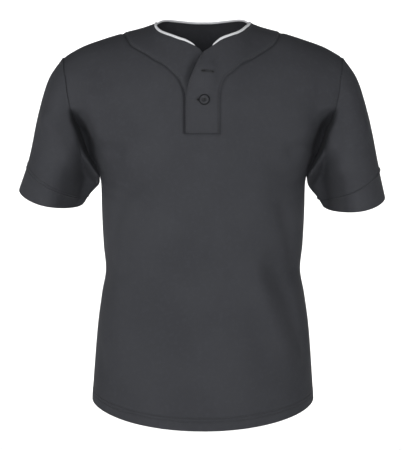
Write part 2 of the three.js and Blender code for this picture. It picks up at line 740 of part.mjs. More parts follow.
addPiece('neck_piping', pipingSolid(neckEdge(under, over, back)), white);
addButton('button_lower', LOWER_BUTTON, overLift);
addButton('button_upper', UPPER_BUTTON, underLift);

export default jersey;
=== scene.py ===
# A two-button baseball jersey, filled out as if worn, with nobody in it.
# Sizes are in millimetres here and turned into metres where a mesh is made.

import math

import bpy
import numpy as np
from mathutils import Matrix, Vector


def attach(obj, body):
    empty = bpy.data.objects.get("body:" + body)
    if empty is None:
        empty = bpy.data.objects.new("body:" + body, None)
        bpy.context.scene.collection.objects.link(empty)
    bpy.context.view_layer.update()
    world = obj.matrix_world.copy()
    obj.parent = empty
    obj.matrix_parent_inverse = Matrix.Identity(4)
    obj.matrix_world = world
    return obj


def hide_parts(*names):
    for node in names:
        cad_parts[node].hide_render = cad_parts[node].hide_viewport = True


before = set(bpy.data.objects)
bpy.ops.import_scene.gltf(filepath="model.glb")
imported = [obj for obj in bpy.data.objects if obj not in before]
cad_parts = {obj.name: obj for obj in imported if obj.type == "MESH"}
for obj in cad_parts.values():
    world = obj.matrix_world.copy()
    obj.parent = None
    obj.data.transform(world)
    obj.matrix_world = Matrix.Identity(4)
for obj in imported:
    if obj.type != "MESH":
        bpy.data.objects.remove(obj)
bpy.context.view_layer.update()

MM = 0.001
X, Y, Z = np.eye(3)

# Camera
CAMERA_DISTANCE = 3200
PICTURE_CENTRE = (-3.6, -364)
PICTURE_HEIGHT = 810
SENSOR = 36
CLIP_END = 50000

# Studio: a floor that curves up into a wall behind the jersey
FLOOR_Z = -900
WALL_Y = 5600
WALL_TOP_Z = 3400
SWEEP_RADIUS = 900
SWEEP_PARTS = 12
STAGE_HALF = 12000
AIR_STRENGTH = 0.13

# Lights, in metres and watts: place, aim, width and height, power
LIGHTS = {
    "front_light": ((-0.3, -3.8, -0.6), (0, 0, -0.35), (2.8, 2.2), 119),
    "left_light": ((-2.4, -1.7, -0.6), (0, 0, -0.4), (1.8, 2.0), 33),
    "right_light": ((2.4, -1.9, -0.6), (0, 0, -0.4), (1.8, 2.0), 24),
    "backdrop_light": ((0, 1.6, 2.5), (0, 4.2, 0.9), (3.6, 1.0), 290),
}

# Cloth: its walls, and how deep and how wide it sinks at the seams
CLOTH_WALL = 1.4
BAND_WALL = 2.0
SEAM_DIP = 1.7
BAND_SEAM_DIP = 2.6
PLACKET_GAP_DIP = 4.2
PLACKET_GAP_Z = -92
PLACKET_GAP_EASE = 30
SIDE_SEAM_DIP = 0.5
ARMHOLE_DIP = 0.35
SEAM_REACH = 3.0

# How far the cloth is tucked back beside the armpits, as a share of its depth, and how wide the tuck is
TUCK = {
    "z": (-290, -272, -256, -231, -198, -158),
    "front": (0, 0.7, 1.25, 1.3, 1.1, 0),
    "back": (0, 0.15, 0.25, 0.25, 0.2, 0),
    "reach": (8.5, 9, 11.5, 15, 18, 19),
}
TUCK_REACH_SLEEVE = 4.5

# Lengths of the body below its armpits and of the sleeves
BODY_LENGTH = 448
SLEEVE_LENGTH = 245

# Turned-up hems: where their stitching runs above the edge, how proud they stand, how it sinks
HEM_STITCHES = (16, 22)
HEM_PROUD = 0.5
STITCH_SINK = 0.9
STITCH_REACH = 1.1

# The viewer's left cuff (-1) has two lines of stitching, the right one (1) has one that is deeper
CUFF_STITCHES = {-1: (41, 47), 1: (46.5,)}
CUFF_SINK = {-1: 1.1, 1: 2.2}

# Levels and roundness of the body
ARMPIT_Z = -272
HEM_SIDE_Z = -673
HEM_DROP = 47.5
HEM_ROUND = 1.25
SECTION_POWER = 2.3
FRONT = {"sign": -1, "depth": "front", "roundness": 2.1}
BACK = {"sign": 1, "depth": "back", "roundness": 2.5}

# The body's half sizes from the hem up to the armpits
BODY = {
    "z": (-730, -672, -614, -542, -484, -441, -398, -340, -292, -272),
    "half_width": (198.5, 198, 195, 189.5, 182, 175, 179, 181.5, 182.5, 186),
    "front": (133, 131, 128, 122, 116, 112, 117, 123, 125, 126),
    "back": (132, 130, 127, 121, 114, 109, 112, 116, 117.5, 118),
}

# The same section carried on past the armholes, from the armpits (0) to the shoulders (1)
CHEST = {
    "up": (0, 0.1, 0.2, 0.48, 0.82, 1),
    "half_width": (186, 202, 219, 264, 306, 325),
}

# The shoulder line from the middle of the neck out past the armhole
SHOULDER = {
    "x": (0, 30, 50, 65, 77, 87, 97, 110, 148, 184, 213, 234, 250, 280),
    "z": (50, 46.5, 35.5, 22.5, 9, -1.5, -6, -10.2, -20, -31, -41.5, -52.5, -63, -90),
}

# The armhole seam as the front shows it, from the armpit up
ARMHOLE = {
    "x": (186, 197, 208, 224, 235, 242, 246, 250),
    "z": (-272, -254, -233, -193, -160, -125, -90, -62.5),
}

# The neck and the seams and edges of the bands, each from the placket's foot up to the shoulder
NECK_HALF_WIDTH = 87
NECK_BACK_DEPTH = 52
NAPE = {
    "x": (0, 30, 60, 75, 87),
    "z": (20, 20, 16, 10, -1.5),
}
BACK_SLOPE = {
    "x": (0, 60, 110, 148),
    "z": (22, 10, -8, -20),
}
BACK_SLOPE_REACH = 148
BACK_SLOPE_FADE = 6
PLACKET_FOOT_Z = -205
BAND_SEAM_LEFT = {
    "x": (-31, -32, -40, -57.5, -93, -129, -146),
    "z": (-205, -140, -113.5, -93.5, -68, -43, -19.4),
}
BAND_SEAM_RIGHT = {
    "x": (29.5, 30.4, 38.3, 55, 86, 115.5, 127, 134, 141),
    "z": (-205, -137, -109, -93, -72, -51.7, -41.6, -30, -17.8),
}
UNDER_EDGE = {
    "x": (25, 25, 20, 12, 3, -8, -25, -43, -69, -81, -86.5, -87),
    "z": (-205, -125, -97, -78, -64, -54, -45, -38.5, -27.5, -19.5, -9.5, -1.5),
}
OVER_EDGE = {
    "x": (-29.5, -29.3, -27, -16, 1.6, 8, 17.3, 28.6, 47.3, 63.4, 73.4, 84, 87),
    "z": (-205, -146, -127, -95, -61, -57, -50.3, -41.6, -33, -26.5, -19.4, -7.5, -1.5),
}
UNDER_NECK_END = (-6.5, -55)
OVER_NECK_END = (15.5, -51.5)

# How the bands lie on each other
BAND_PROUD = 0.7
OVERLAP_HALF = 30
OVERLAP_STEP = 2.6
LOOSE_LIFT = 5.6
LOOSE_Z = -96
LOOSE_REACH = 26
LOOSE_EASE = 18
UNDER_SINK = 10
UNDER_SINK_WIDTH = 15
UNDER_SINK_Z = -84
UNDER_SINK_REACH = 46

# Sleeves, from the armhole (0) to the cuff (1)
SLEEVE_SHAPE = {
    "along": (0, 0.2, 0.45, 0.75, 1),
    "half_depth": (58, 66, 71, 71, 70),
    "bow": (0, 3, 8, 16, 23),
}
SLEEVE_LEFT = {
    **SLEEVE_SHAPE,
    "outer_x": (250, 276, 293, 308, 329),
    "outer_z": (-63, -103, -163, -237, -298),
    "inner_x": (186, 187.5, 197, 207, 215),
    "inner_z": (-272, -286, -297, -308, -321),
}
SLEEVE_RIGHT = {
    **SLEEVE_SHAPE,
    "outer_x": (250, 276.5, 294.5, 310.5, 326),
    "outer_z": (-63, -103, -165, -245, -312),
    "inner_x": (186, 189, 197.5, 208, 216),
    "inner_z": (-272, -287, -300, -312, -325),
}
BOW_SKEW = 0.2

# The largest soft folds, much as the solids have them: start, end, width, height
FOLDS = [
    ((146, -98, -330), (172, -58, -436), 17, -6),
    ((-148, -94, -320), (-170, -56, -424), 17, -4),
    ((128, -96, -432), (182, -52, -590), 22, -6),
    ((98, -110, -450), (150, -92, -610), 20, 5),
    ((-158, -64, -400), (-152, -84, -590), 18, 1),
    ((-176, -30, -392), (-174, -48, -470), 18, -1.5),
    ((-166, -50, -286), (-120, -106, -300), 13, -4),
    ((166, -50, -286), (130, -102, -302), 13, -4),
    ((204, -62, -130), (196, -82, -180), 14, -4),
    ((-196, -74, -140), (-186, -88, -210), 15, 4),
    ((-200, -54, -210), (-150, -96, -236), 14, -5),
    ((198, -56, -214), (156, -94, -232), 14, -5),
    ((160, 70, -300), (96, 106, -370), 18, -6),
    ((-166, 66, -310), (-110, 100, -400), 20, -6),
    ((-60, 104, -400), (70, 100, -428), 18, -5),
    ((150, 84, -450), (166, 80, -600), 22, -7),
    ((-140, 88, -470), (-160, 88, -620), 22, 6),
    ((-218, -64, -200), (-234, -62, -306), 15, -5),
    ((220, -64, -194), (238, -62, -304), 15, -5),
    ((282, -52, -190), (240, -66, -262), 14, -5),
    ((-276, -56, -176), (-236, -68, -250), 14, -5),
    ((274, 60, -180), (232, 66, -256), 14, -5),
    ((-270, 62, -170), (-230, 66, -250), 14, -5),
]

# Finer creases that only the cloth shows: start, bend, end, width, height
CREASES = [
    ((184, -20, -300), (160, -70, -318), (126, -100, -330), 7, -1.6),
    ((-184, -20, -296), (-158, -72, -312), (-124, -102, -318), 7, -1.6),
    ((-160, -50, -440), (-146, -72, -448), (-118, -88, -470), 8, -1.4),
    ((168, -20, -438), (152, -62, -448), (124, -84, -476), 8, -2.4),
    ((-170, 18, -438), (-150, 60, -446), (-112, 86, -462), 9, -2.2),
    ((170, 20, -440), (150, 62, -452), (108, 88, -474), 9, -2.4),
    ((168, -66, -480), (178, -60, -540), (176, -70, -600), 9, 2.0),
    ((-182, -40, -560), (-176, -62, -610), (-178, -68, -660), 10, -1.6),
    ((-229, -66, -196), (-229, -70, -236), (-234, -66, -280), 11, -5),
    ((225, -66, -190), (225, -70, -232), (231, -66, -280), 11, -5),
    ((-228, -58, -188), (-213, -52, -232), (-201, -34, -270), 8, 5),
    ((226, -58, -184), (212, -52, -230), (201, -34, -270), 8, 5),
    ((-244, 40, -92), (-252, 58, -130), (-250, 66, -170), 9, 1.5),
    ((244, 40, -92), (252, 58, -132), (250, 66, -174), 9, 1.5),
    ((-90, 100, -150), (-60, 112, -210), (-50, 116, -280), 14, 1.8),
    ((96, 98, -146), (64, 112, -204), (54, 116, -270), 14, 1.8),
    ((-150, 92, -300), (-90, 112, -322), (-20, 118, -326), 11, -1.8),
    ((30, 112, -452), (90, 106, -470), (140, 90, -500), 11, -1.8),
    ((-40, 118, -560), (-70, 120, -620), (-76, 122, -690), 16, 1.8),
    ((-30, -122, -600), (-20, -126, -660), (-24, -130, -710), 20, 1.0),
    ((70, -116, -560), (84, -118, -620), (90, -118, -690), 18, 1.2),
]

# Each crease is followed in short straight parts, and is faint at its ends
CREASE_PARTS = 10
CREASE_END_FADE = 0.08

# Slow unevenness of the cloth, as waves across space: direction and rate, phase, height
WAVES = [
    ((0.021, 0.013, 0.0085), 0.3, 0.3),
    ((-0.017, 0.024, 0.012), 1.7, 0.3),
    ((0.034, -0.027, -0.015), 4.1, 0.16),
    ((-0.043, -0.031, 0.022), 2.6, 0.14),
    ((0.062, 0.048, -0.031), 5.2, 0.08),
]

# The inner part of each sleeve hangs slack: its front and back sink by these shares of their depth,
# and it moves backwards as a whole, both growing from the armhole on
SLEEVE_HOLLOW = {"front": 0.8, "back": 0.2}
HOLLOW_FROM = (0.1, 0.3)
HOLLOW_WIDTH = 0.6
HOLLOW_BACKWARDS = 32
HOLLOW_START = 0.04
HOLLOW_LENGTH = 0.36

# Piping
PIPING_HALF_WIDTH = 2.5
PIPING_HALF_HEIGHT = 1.7
PIPING_SIDES = 14
PIPING_RINGS = 260
PIPING_TAPER = 22
PIPING_TIP = 0.2
PIPING_OVER_EDGE = 0.2
PIPING_SMOOTHING = {"path": 6, "out": 12}

# Buttons
BUTTONS = {"lower": (2.1, -147), "upper": (1, -97)}
BUTTON_RADIUS = 9.7
BUTTON_RIM = 1.7
BUTTON_THICKNESS = 3.0
BUTTON_DISH = 1.3
BUTTON_DISH_RADIUS = 4.4
BUTTON_SEAT = 0.5
BUTTON_SIDES = 64
BUTTON_HOLE_RADIUS = 0.95
BUTTON_HOLE_SPREAD = 1.35
BUTTON_HOLE_SIDES = 20
BUTTON_BEVEL = 0.12
BUTTON_BEVEL_ANGLE = 50

# The thread that crosses in the middle of a button
BUTTON_THREAD_RADIUS = 0.26
BUTTON_THREAD_SIDES = 8
BUTTON_THREAD_PARTS = 9
BUTTON_THREAD_OFFSETS = (-0.28, 0, 0.28)
BUTTON_THREAD_REACH = 1.08
BUTTON_THREAD_RISE = 0.9
BUTTON_THREAD_ARCH = 0.6
BUTTON_THREAD_TOP = 0.15

# Buttonholes: middle, slope, half height of the dark slit
BUTTONHOLES = {
    "upper_buttonhole": ((7.8, -98.2), -0.06, 0.75),
    "lower_buttonhole": ((-0.2, -147), 0, 1.5),
}
HOLE_HALF_LENGTH = 11.3
HOLE_HALF_HEIGHT = 1.6
HOLE_ROUNDNESS = 0.35
HOLE_PARTS = 60
SLIT_SHORTER = 0.8
SLIT_PROUD = 0.12
SLIT_SINK = 0.3

# Sewing
RUNNING_STITCH = {"length": 2.7, "step": 3.3, "radius": 0.42}
HOLE_STITCH = {"length": 1.9, "step": 0.7, "radius": 0.42}
STITCH_SIDES = 6

# The rings of one stitch, as shares of its length and radius: place, size, height
STITCH_RINGS = [
    (-0.5, 0.35, -0.5),
    (-0.36, 0.85, -0.05),
    (0, 1, 0.15),
    (0.36, 0.85, -0.05),
    (0.5, 0.35, -0.5),
]

# The edges of the bands: where their stitching runs, and how they are rounded
EDGE_STITCH = 3.0
EDGE_STITCH_SINK = 0.6
EDGE_LIP = 0.6
EDGE_LIP_PLACE = 1.4
EDGE_ROUND = 0.5
EDGE_ROUND_REACH = 1.2
BAND_SEAM_WIDENED = 0.9

# How finely the cloth is divided: steps, and the lengths that they divide
ROW_STEP = 5
BESIDE_STEP = 4.5
BAND_STEP = 3.5
EDGE_STEPS = (0, 0.8, 1.7, 2.8, 4.2, 6.2)
STITCH_STEPS = (-2.2, -1.5, -0.9, -0.4, 0, 0.4, 0.9, 1.5, 2.2)
STITCH_CLEARANCE = 0.4
SAME_PLACE_PER_MM = 20
ARMPIT_TO_PLACKET = 68
PLACKET_TO_SHOULDER = 250
FRONT_SIDE_WIDTH = 215
FRONT_MIDDLE_WIDTH = 61
BACK_SHOULDER_WIDTH = 170
BACK_NECK_COLUMNS = 45
BAND_WIDTH = 62


# Curves and small sums
def curve_through(at, value):
    """A smooth curve through a table's columns, with no overshoot between its rows."""
    order = np.argsort(at)
    t = np.array(at, float)[order]
    v = np.array(value, float)[order]
    slopes = np.diff(v) / np.diff(t)
    tangents = np.zeros(len(t))
    tangents[0] = slopes[0]
    tangents[-1] = slopes[-1]
    before, after = slopes[:-1], slopes[1:]
    same = before * after > 0
    total = np.where(same, before + after, 1)
    tangents[1:-1] = np.where(same, 2 * before * after / total, 0)

    def curve(x):
        inside = np.clip(np.asarray(x, float), t[0], t[-1])
        k = np.clip(np.searchsorted(t, inside, side="left") - 1, 0, len(t) - 2)
        span = t[k + 1] - t[k]
        u = (inside - t[k]) / span
        w = u * u * (3 - 2 * u)
        rise = u * (1 - u) * span * (tangents[k] * (1 - u) - tangents[k + 1] * u)
        return v[k] * (1 - w) + v[k + 1] * w + rise

    return curve


def mix(a, b, t):
    return a + (b - a) * t


def ease(t):
    inside = np.clip(t, 0, 1)
    return inside * inside * (3 - 2 * inside)


def bell(distance, reach):
    """1 at no distance, fading to nothing past the reach."""
    return np.exp(-((distance / reach) ** 2))


def unit(v):
    return v / np.maximum(np.linalg.norm(v, axis=-1, keepdims=True), 1e-9)


# The body's surface
body_half_width = curve_through(BODY["z"], BODY["half_width"])
body_depth = {side: curve_through(BODY["z"], BODY[side]) for side in ("front", "back")}
chest_half_width = curve_through(CHEST["up"], CHEST["half_width"])
shoulder_z = curve_through(SHOULDER["x"], SHOULDER["z"])
tuck_share = {side: curve_through(TUCK["z"], TUCK[side]) for side in ("front", "back")}
tuck_reach = curve_through(TUCK["z"], TUCK["reach"])
nape_z = curve_through(NAPE["x"], NAPE["z"])
back_slope_z = curve_through(BACK_SLOPE["x"], BACK_SLOPE["z"])


def fullness(q):
    """How deep a section is at a fraction of its half width."""
    return np.maximum(0, 1 - np.abs(q) ** SECTION_POWER) ** (1 / SECTION_POWER)


def row_up(face, row):
    """How far a row lies from the armpits' level (0) to the shoulder line (1)."""
    return np.sin(np.clip(row, 0, 1) * math.pi / 2) ** (2 / face["roundness"])


def row_in(face, row):
    """The share of a face's depth that is left at a row above the armpits."""
    return np.abs(np.cos(np.clip(row, 0, 1) * math.pi / 2)) ** (2 / face["roundness"])


def row_from_up(face, up):
    return np.arcsin(np.clip(up, 0, 1) ** (face["roundness"] / 2)) * 2 / math.pi


def row_at(face, x, z):
    """The row of a face that passes through a point of the front view."""
    up = (np.asarray(z, float) - ARMPIT_Z) / (shoulder_z(np.abs(x)) - ARMPIT_Z)
    return row_from_up(face, up)


def back_neck_row(x):
    """The row of the back at which its neck edge lies."""
    inside = np.clip(1 - (np.asarray(x) / NECK_HALF_WIDTH) ** 2, 0, 1)
    share = np.clip(NECK_BACK_DEPTH * np.sqrt(inside) / body_depth["back"](ARMPIT_Z), 0, 1)
    return np.arccos(share ** (BACK["roundness"] / 2)) * 2 / math.pi


def top_z(face, x, up):
    """The height that a face rises to at a distance from the middle; the back has its own near the neck."""
    if face is FRONT:
        return shoulder_z(x)
    sharp = np.where(x < NECK_HALF_WIDTH, nape_z(x), shoulder_z(x))
    near = mix(back_slope_z(x), sharp, up**BACK_SLOPE_FADE)
    return np.where(x > BACK_SLOPE_REACH, shoulder_z(x), near)


def plain_body(face, q, row):
    """The body without folds. Rows run from -1 at the hem through 0 at the armpits to 1."""
    across, row = np.broadcast_arrays(np.clip(q, -1, 1), np.asarray(row, float))
    hem_z = HEM_SIDE_Z - HEM_DROP * (1 - across**2) ** (HEM_ROUND / 2)
    low_z = mix(ARMPIT_Z, hem_z, np.clip(-row, 0, 1))
    depth = body_depth[face["depth"]]
    low = np.stack(
        [across * body_half_width(low_z), face["sign"] * depth(low_z) * fullness(across), low_z],
        axis=-1,
    )
    up = row_up(face, row)
    x = across * chest_half_width(up)
    y = face["sign"] * depth(ARMPIT_Z) * row_in(face, row) * fullness(across)
    high = np.stack([x, y, mix(ARMPIT_Z, top_z(face, np.abs(x), up), up)], axis=-1)
    return np.where((row < 0)[..., None], low, high)


def edge_against_row(face, table):
    """A seam's or edge's distance from the middle, as a curve over a face's rows."""
    return curve_through(row_at(face, np.array(table["x"]), np.array(table["z"])), table["x"])


armhole_x = {"front": edge_against_row(FRONT, ARMHOLE), "back": edge_against_row(BACK, ARMHOLE)}
seam_left_x = edge_against_row(FRONT, BAND_SEAM_LEFT)
seam_right_x = edge_against_row(FRONT, BAND_SEAM_RIGHT)
under_edge_x = edge_against_row(FRONT, UNDER_EDGE)
over_edge_x = edge_against_row(FRONT, OVER_EDGE)
PLACKET_ROW = float(row_at(FRONT, 0, PLACKET_FOOT_Z))


def section_half_width(face, row):
    low = body_half_width(mix(ARMPIT_Z, HEM_SIDE_Z, np.clip(-row, 0, 1)))
    return np.where(row < 0, low, chest_half_width(row_up(face, row)))


def edge_fraction(face, row):
    """The fraction of the half width at which a face meets its side seam or armhole."""
    return np.where(row <= 0, 1, armhole_x[face["depth"]](row) / section_half_width(face, row))


# Folds and creases
def nearest_part(points, a, b):
    """The nearest part of a line from a to b, as a fraction, and the distance to it."""
    t = np.clip((points - a) @ (b - a) / ((b - a) @ (b - a)), 0, 1)
    return t, np.linalg.norm(points - (a + t[..., None] * (b - a)), axis=-1)


def crease_path(start, bend, end):
    """Points along a curve that passes its bend half way."""
    a, c, b = (np.array(place, float) for place in (start, bend, end))
    t = np.linspace(0, 1, CREASE_PARTS + 1)[:, None]
    return (1 - t) ** 2 * a + t * (1 - t) * (4 * c - a - b) + t * t * b


def fold_height(points):
    """How far all folds and creases together move points of the cloth outwards."""
    height = np.zeros(points.shape[:-1])
    for start, end, width, most in FOLDS:
        _, away = nearest_part(points, np.array(start, float), np.array(end, float))
        height += most * bell(away, width)
    for start, bend, end, width, most in CREASES:
        path = crease_path(start, bend, end)
        least = np.full(points.shape[:-1], 1e9)
        along = np.zeros(points.shape[:-1])
        for k in range(CREASE_PARTS):
            t, away = nearest_part(points, path[k], path[k + 1])
            closer = away < least
            least = np.where(closer, away, least)
            along = np.where(closer, (k + t) / CREASE_PARTS, along)
        fade = np.sin(math.pi * (CREASE_END_FADE + (1 - 2 * CREASE_END_FADE) * along))
        height += most * fade * bell(least, width)
    return height


def unevenness(points):
    total = np.zeros(points.shape[:-1])
    for wave, phase, height in WAVES:
        total += height * np.sin(points @ np.array(wave) + phase)
    return total


# How the cloth is divided
def spaced(length, first=True, last=True, step=ROW_STEP, stitches=()):
    """Fractions of a length: closely spaced beside edges and stitching, evenly spaced between."""
    edge = np.array(EDGE_STEPS)
    start = edge if first else np.array([0.0])
    end = length - (edge[::-1] if last else np.array([0.0]))
    count = max(2, int(round((end[0] - start[-1]) / step)))
    middle = np.linspace(start[-1], end[0], count + 1)[1:-1]
    for stitch in stitches:
        middle = middle[np.abs(middle - stitch) > STITCH_STEPS[-1] + STITCH_CLEARANCE]
        middle = np.sort(np.concatenate([middle, stitch + np.array(STITCH_STEPS)]))
    return np.concatenate([start, middle, end]) / length


def columns_between(start, end, fractions):
    """Fractions of the half width, evenly turned round the section."""
    first = np.arcsin(np.clip(start, -1, 1))[:, None]
    last = np.arcsin(np.clip(end, -1, 1))[:, None]
    return np.sin(mix(first, last, fractions[None, :]))


def nearest_rows(lengths, stitches):
    """The row that lies nearest to each line of stitching."""
    return [int(np.abs(lengths - stitch).argmin()) for stitch in stitches]


# Rows shared by the panels and the sleeves
below = spaced(BODY_LENGTH, last=False, stitches=HEM_STITCHES)
rows_below = below[:-1] - 1
rows_to_placket = PLACKET_ROW * spaced(ARMPIT_TO_PLACKET, first=False)
rows_beside = mix(PLACKET_ROW, 1, spaced(PLACKET_TO_SHOULDER, step=BESIDE_STEP))
FRONT_ROWS_ABOVE = np.concatenate([rows_to_placket[:-1], rows_beside])
BACK_ROWS_ABOVE = row_from_up(BACK, row_up(FRONT, FRONT_ROWS_ABOVE))
BACK_ROWS_ABOVE[-1] = 1
FRONT_ROWS = np.concatenate([rows_below, FRONT_ROWS_ABOVE])
BACK_ROWS = np.concatenate([rows_below, BACK_ROWS_ABOVE])
PLACKET_INDEX = len(rows_below) + len(rows_to_placket) - 1


# Sheets of cloth
def outward_of(places, closed, flip):
    """Outward directions of a table of points."""
    up = np.gradient(places, axis=0)
    if closed:
        along = np.roll(places, -1, 1) - np.roll(places, 1, 1)
    else:
        along = np.gradient(places, axis=1)
    normal = unit(np.cross(along, up))
    return -normal if flip else normal


class Sheet:
    """A table of points of one cloth panel, with outward directions and distances along it."""

    def __init__(self, name, places, wall, closed=False, flip=False):
        self.name = name
        self.places = places
        self.wall = wall
        self.closed = closed
        self.out = outward_of(places, closed, flip)
        self.flip = flip
        faces_across = places.shape[1] - (0 if closed else 1)
        self.keep = np.ones((len(places) - 1, faces_across), bool)
        self.doubled = ()
        across = np.linalg.norm(np.diff(places, axis=1), axis=-1).cumsum(1)
        down = np.linalg.norm(np.diff(places, axis=0), axis=-1).cumsum(0)
        self.u = np.concatenate([np.zeros((len(places), 1)), across], 1)
        self.v = np.concatenate([np.zeros((1, places.shape[1])), down], 0)
        self.dip = np.zeros(places.shape[:2])
        self.tucked = np.zeros(places.shape)

    def seam(self, distance, depth=SEAM_DIP):
        """Lowers the cloth towards a seam, given each point's distance from it."""
        self.dip = np.maximum(self.dip, depth * bell(distance, SEAM_REACH))

    def tuck(self, depth, z, distance, reach):
        """Tucks the cloth back by a share of a depth that fades with the distance from a seam."""
        share = np.where(depth < 0, tuck_share["front"](z), tuck_share["back"](z))
        self.tucked[..., 1] -= depth * share * bell(distance, reach)

    def tuck_beside(self, column):
        """Tucks a body panel back beside the armhole at one of its edges."""
        x, y, z = (self.places[..., k] for k in range(3))
        self.tuck(y, z, x - x[:, [column]], tuck_reach(z))

    def hem(self, distance, stitches, sink=STITCH_SINK):
        """Raises a turned-up hem a little, and sinks its stitching."""
        top = max(stitches) + STITCH_REACH
        self.dip = self.dip - HEM_PROUD * ease((top - distance) / (2 * STITCH_REACH))
        for stitch in stitches:
            self.dip = self.dip + sink * bell(distance - stitch, STITCH_REACH)

    def settle(self):
        """Moves the cloth to where its folds, seams, hems and tucks put it."""
        lift = fold_height(self.places) + unevenness(self.places) - self.dip
        self.places = self.places + self.out * lift[..., None] + self.tucked


def share_directions(sheets):
    """Gives points that several sheets share one outward direction."""
    totals = {}
    keys = []
    for sheet in sheets:
        rounded = np.round(sheet.places * SAME_PLACE_PER_MM).astype(int)
        ends = np.zeros(rounded.shape[:2], bool)
        ends[0] = ends[-1] = ends[:, 0] = ends[:, -1] = True
        spots = [(j, i, tuple(rounded[j, i])) for j, i in zip(*np.nonzero(ends))]
        keys.append(spots)
        for j, i, key in spots:
            weight = 2 if j == 0 and i in sheet.doubled else 1
            totals[key] = totals.get(key, 0) + sheet.out[j, i] * weight
    for sheet, spots in zip(sheets, keys):
        for j, i, key in spots:
            sheet.out[j, i] = unit(totals[key])


def gap_depth(z):
    """How deep the seam left of the placket sinks: more beside the placket's own edge."""
    return mix(BAND_SEAM_DIP, PLACKET_GAP_DIP, ease((PLACKET_GAP_Z - z) / PLACKET_GAP_EASE))


# Front and back
def finish_body(sheet, rows):
    """Sinks a body panel at its seams, tucks it back beside the armpits and turns up its hem."""
    depth = np.where(rows > 0, ARMHOLE_DIP, SIDE_SEAM_DIP)[:, None]
    sheet.seam(sheet.u, depth)
    sheet.seam(sheet.u[:, -1:] - sheet.u, depth)
    sheet.seam(sheet.v[-1] - sheet.v)
    sheet.tuck_beside(0)
    sheet.tuck_beside(-1)
    sheet.hem((rows[:, None] + 1) * BODY_LENGTH, HEM_STITCHES)
    return sheet


def open_placket(sheet, first, second):
    """Cuts the front away between two columns, and sinks it where the bands are sewn on."""
    sheet.keep[PLACKET_INDEX:, first:second] = False
    u = sheet.u
    far = 1e3
    beside = np.arange(len(u))[:, None] >= PLACKET_INDEX
    at_left, at_right = u[:, [first]], u[:, [second]]
    sheet.seam(np.where(beside & (u <= at_left), at_left - u, far), gap_depth(sheet.places[..., 2]))
    sheet.seam(np.where(beside & (u >= at_right), u - at_right, far), BAND_SEAM_DIP)
    foot = sheet.v[PLACKET_INDEX] - sheet.v
    column = np.arange(u.shape[1])[None, :]
    inside = (column >= first) & (column <= second)
    sheet.seam(np.where(inside & (foot >= 0), foot, far))


def front_sheet():
    width = section_half_width(FRONT, FRONT_ROWS)
    edge = edge_fraction(FRONT, FRONT_ROWS)
    seam_rows = np.maximum(FRONT_ROWS, PLACKET_ROW)
    left = seam_left_x(seam_rows) / width
    right = seam_right_x(seam_rows) / width
    side = spaced(FRONT_SIDE_WIDTH)
    middle = spaced(FRONT_MIDDLE_WIDTH)
    parts = [
        columns_between(-edge, left, side)[:, :-1],
        columns_between(left, right, middle)[:, :-1],
        columns_between(right, edge, side),
    ]
    across = np.concatenate(parts, axis=1)
    sheet = Sheet("front_cloth", plain_body(FRONT, across, FRONT_ROWS[:, None]), CLOTH_WALL)
    open_placket(sheet, len(side) - 1, len(side) + len(middle) - 2)
    return finish_body(sheet, FRONT_ROWS)


def back_sheet():
    width = section_half_width(BACK, BACK_ROWS)
    edge = edge_fraction(BACK, BACK_ROWS)
    neck = NECK_HALF_WIDTH / width
    shoulder = spaced(BACK_SHOULDER_WIDTH)
    turns = np.linspace(-1, 1, BACK_NECK_COLUMNS)
    parts = [
        columns_between(-edge, -neck, shoulder)[:, :-1],
        neck[:, None] * np.sin(turns * math.pi / 2)[None, :],
        columns_between(neck, edge, shoulder)[:, 1:],
    ]
    across = np.concatenate(parts, axis=1)[:, ::-1]
    x = across * width[:, None]
    top = np.where(np.abs(across) < neck[:, None] - 1e-9, back_neck_row(x), 1)
    row = np.where(BACK_ROWS[:, None] > 0, BACK_ROWS[:, None] * top, BACK_ROWS[:, None])
    sheet = Sheet("back_cloth", plain_body(BACK, across, row), CLOTH_WALL)
    sheet.neck = (len(shoulder) - 1, len(shoulder) + len(turns) - 2)
    return finish_body(sheet, BACK_ROWS)


# Sleeves
def sleeve_ring(table, side):
    """A sleeve's surface, as a function of the place along it and the angle round it."""
    columns = {name: curve_through(table["along"], table[name]) for name in table if name != "along"}

    def ring(along, angle):
        outer = np.stack([columns["outer_x"](along), columns["outer_z"](along)], -1)
        inner = np.stack([columns["inner_x"](along), columns["inner_z"](along)], -1)
        middle, half = (outer + inner) / 2, (outer - inner) / 2
        down = unit(np.stack([half[..., 1], -half[..., 0]], -1))
        forward = np.sin(angle)
        hang = columns["bow"](along) * (forward * (1 - BOW_SKEW) + forward**2 * BOW_SKEW)
        flat = middle + half * np.cos(angle)[..., None] + down * hang[..., None]
        depth = columns["half_depth"](along) * forward
        return np.stack([side * flat[..., 0], -depth, flat[..., 1]], -1)

    return ring


def armhole_loop(side):
    """The edges of the front and of the back round an armhole, and how many points are the front's."""
    front = plain_body(FRONT, side * edge_fraction(FRONT, FRONT_ROWS_ABOVE), FRONT_ROWS_ABOVE)
    back = plain_body(BACK, side * edge_fraction(BACK, BACK_ROWS_ABOVE), BACK_ROWS_ABOVE)[::-1]
    return np.concatenate([front, back[1:-1]]), len(front)


def turn_round(loop, ring, front_count):
    """The angle of each point of an armhole: 0 at its top and half a turn at the armpit."""
    zero = np.zeros(1)
    outer, inner = ring(zero, zero)[0], ring(zero, zero + math.pi)[0]
    middle = (outer + inner) / 2
    half = outer - middle
    turn = np.arccos(np.clip((loop - middle) @ half / (half @ half), -1, 1))
    turn[front_count:] *= -1
    return turn


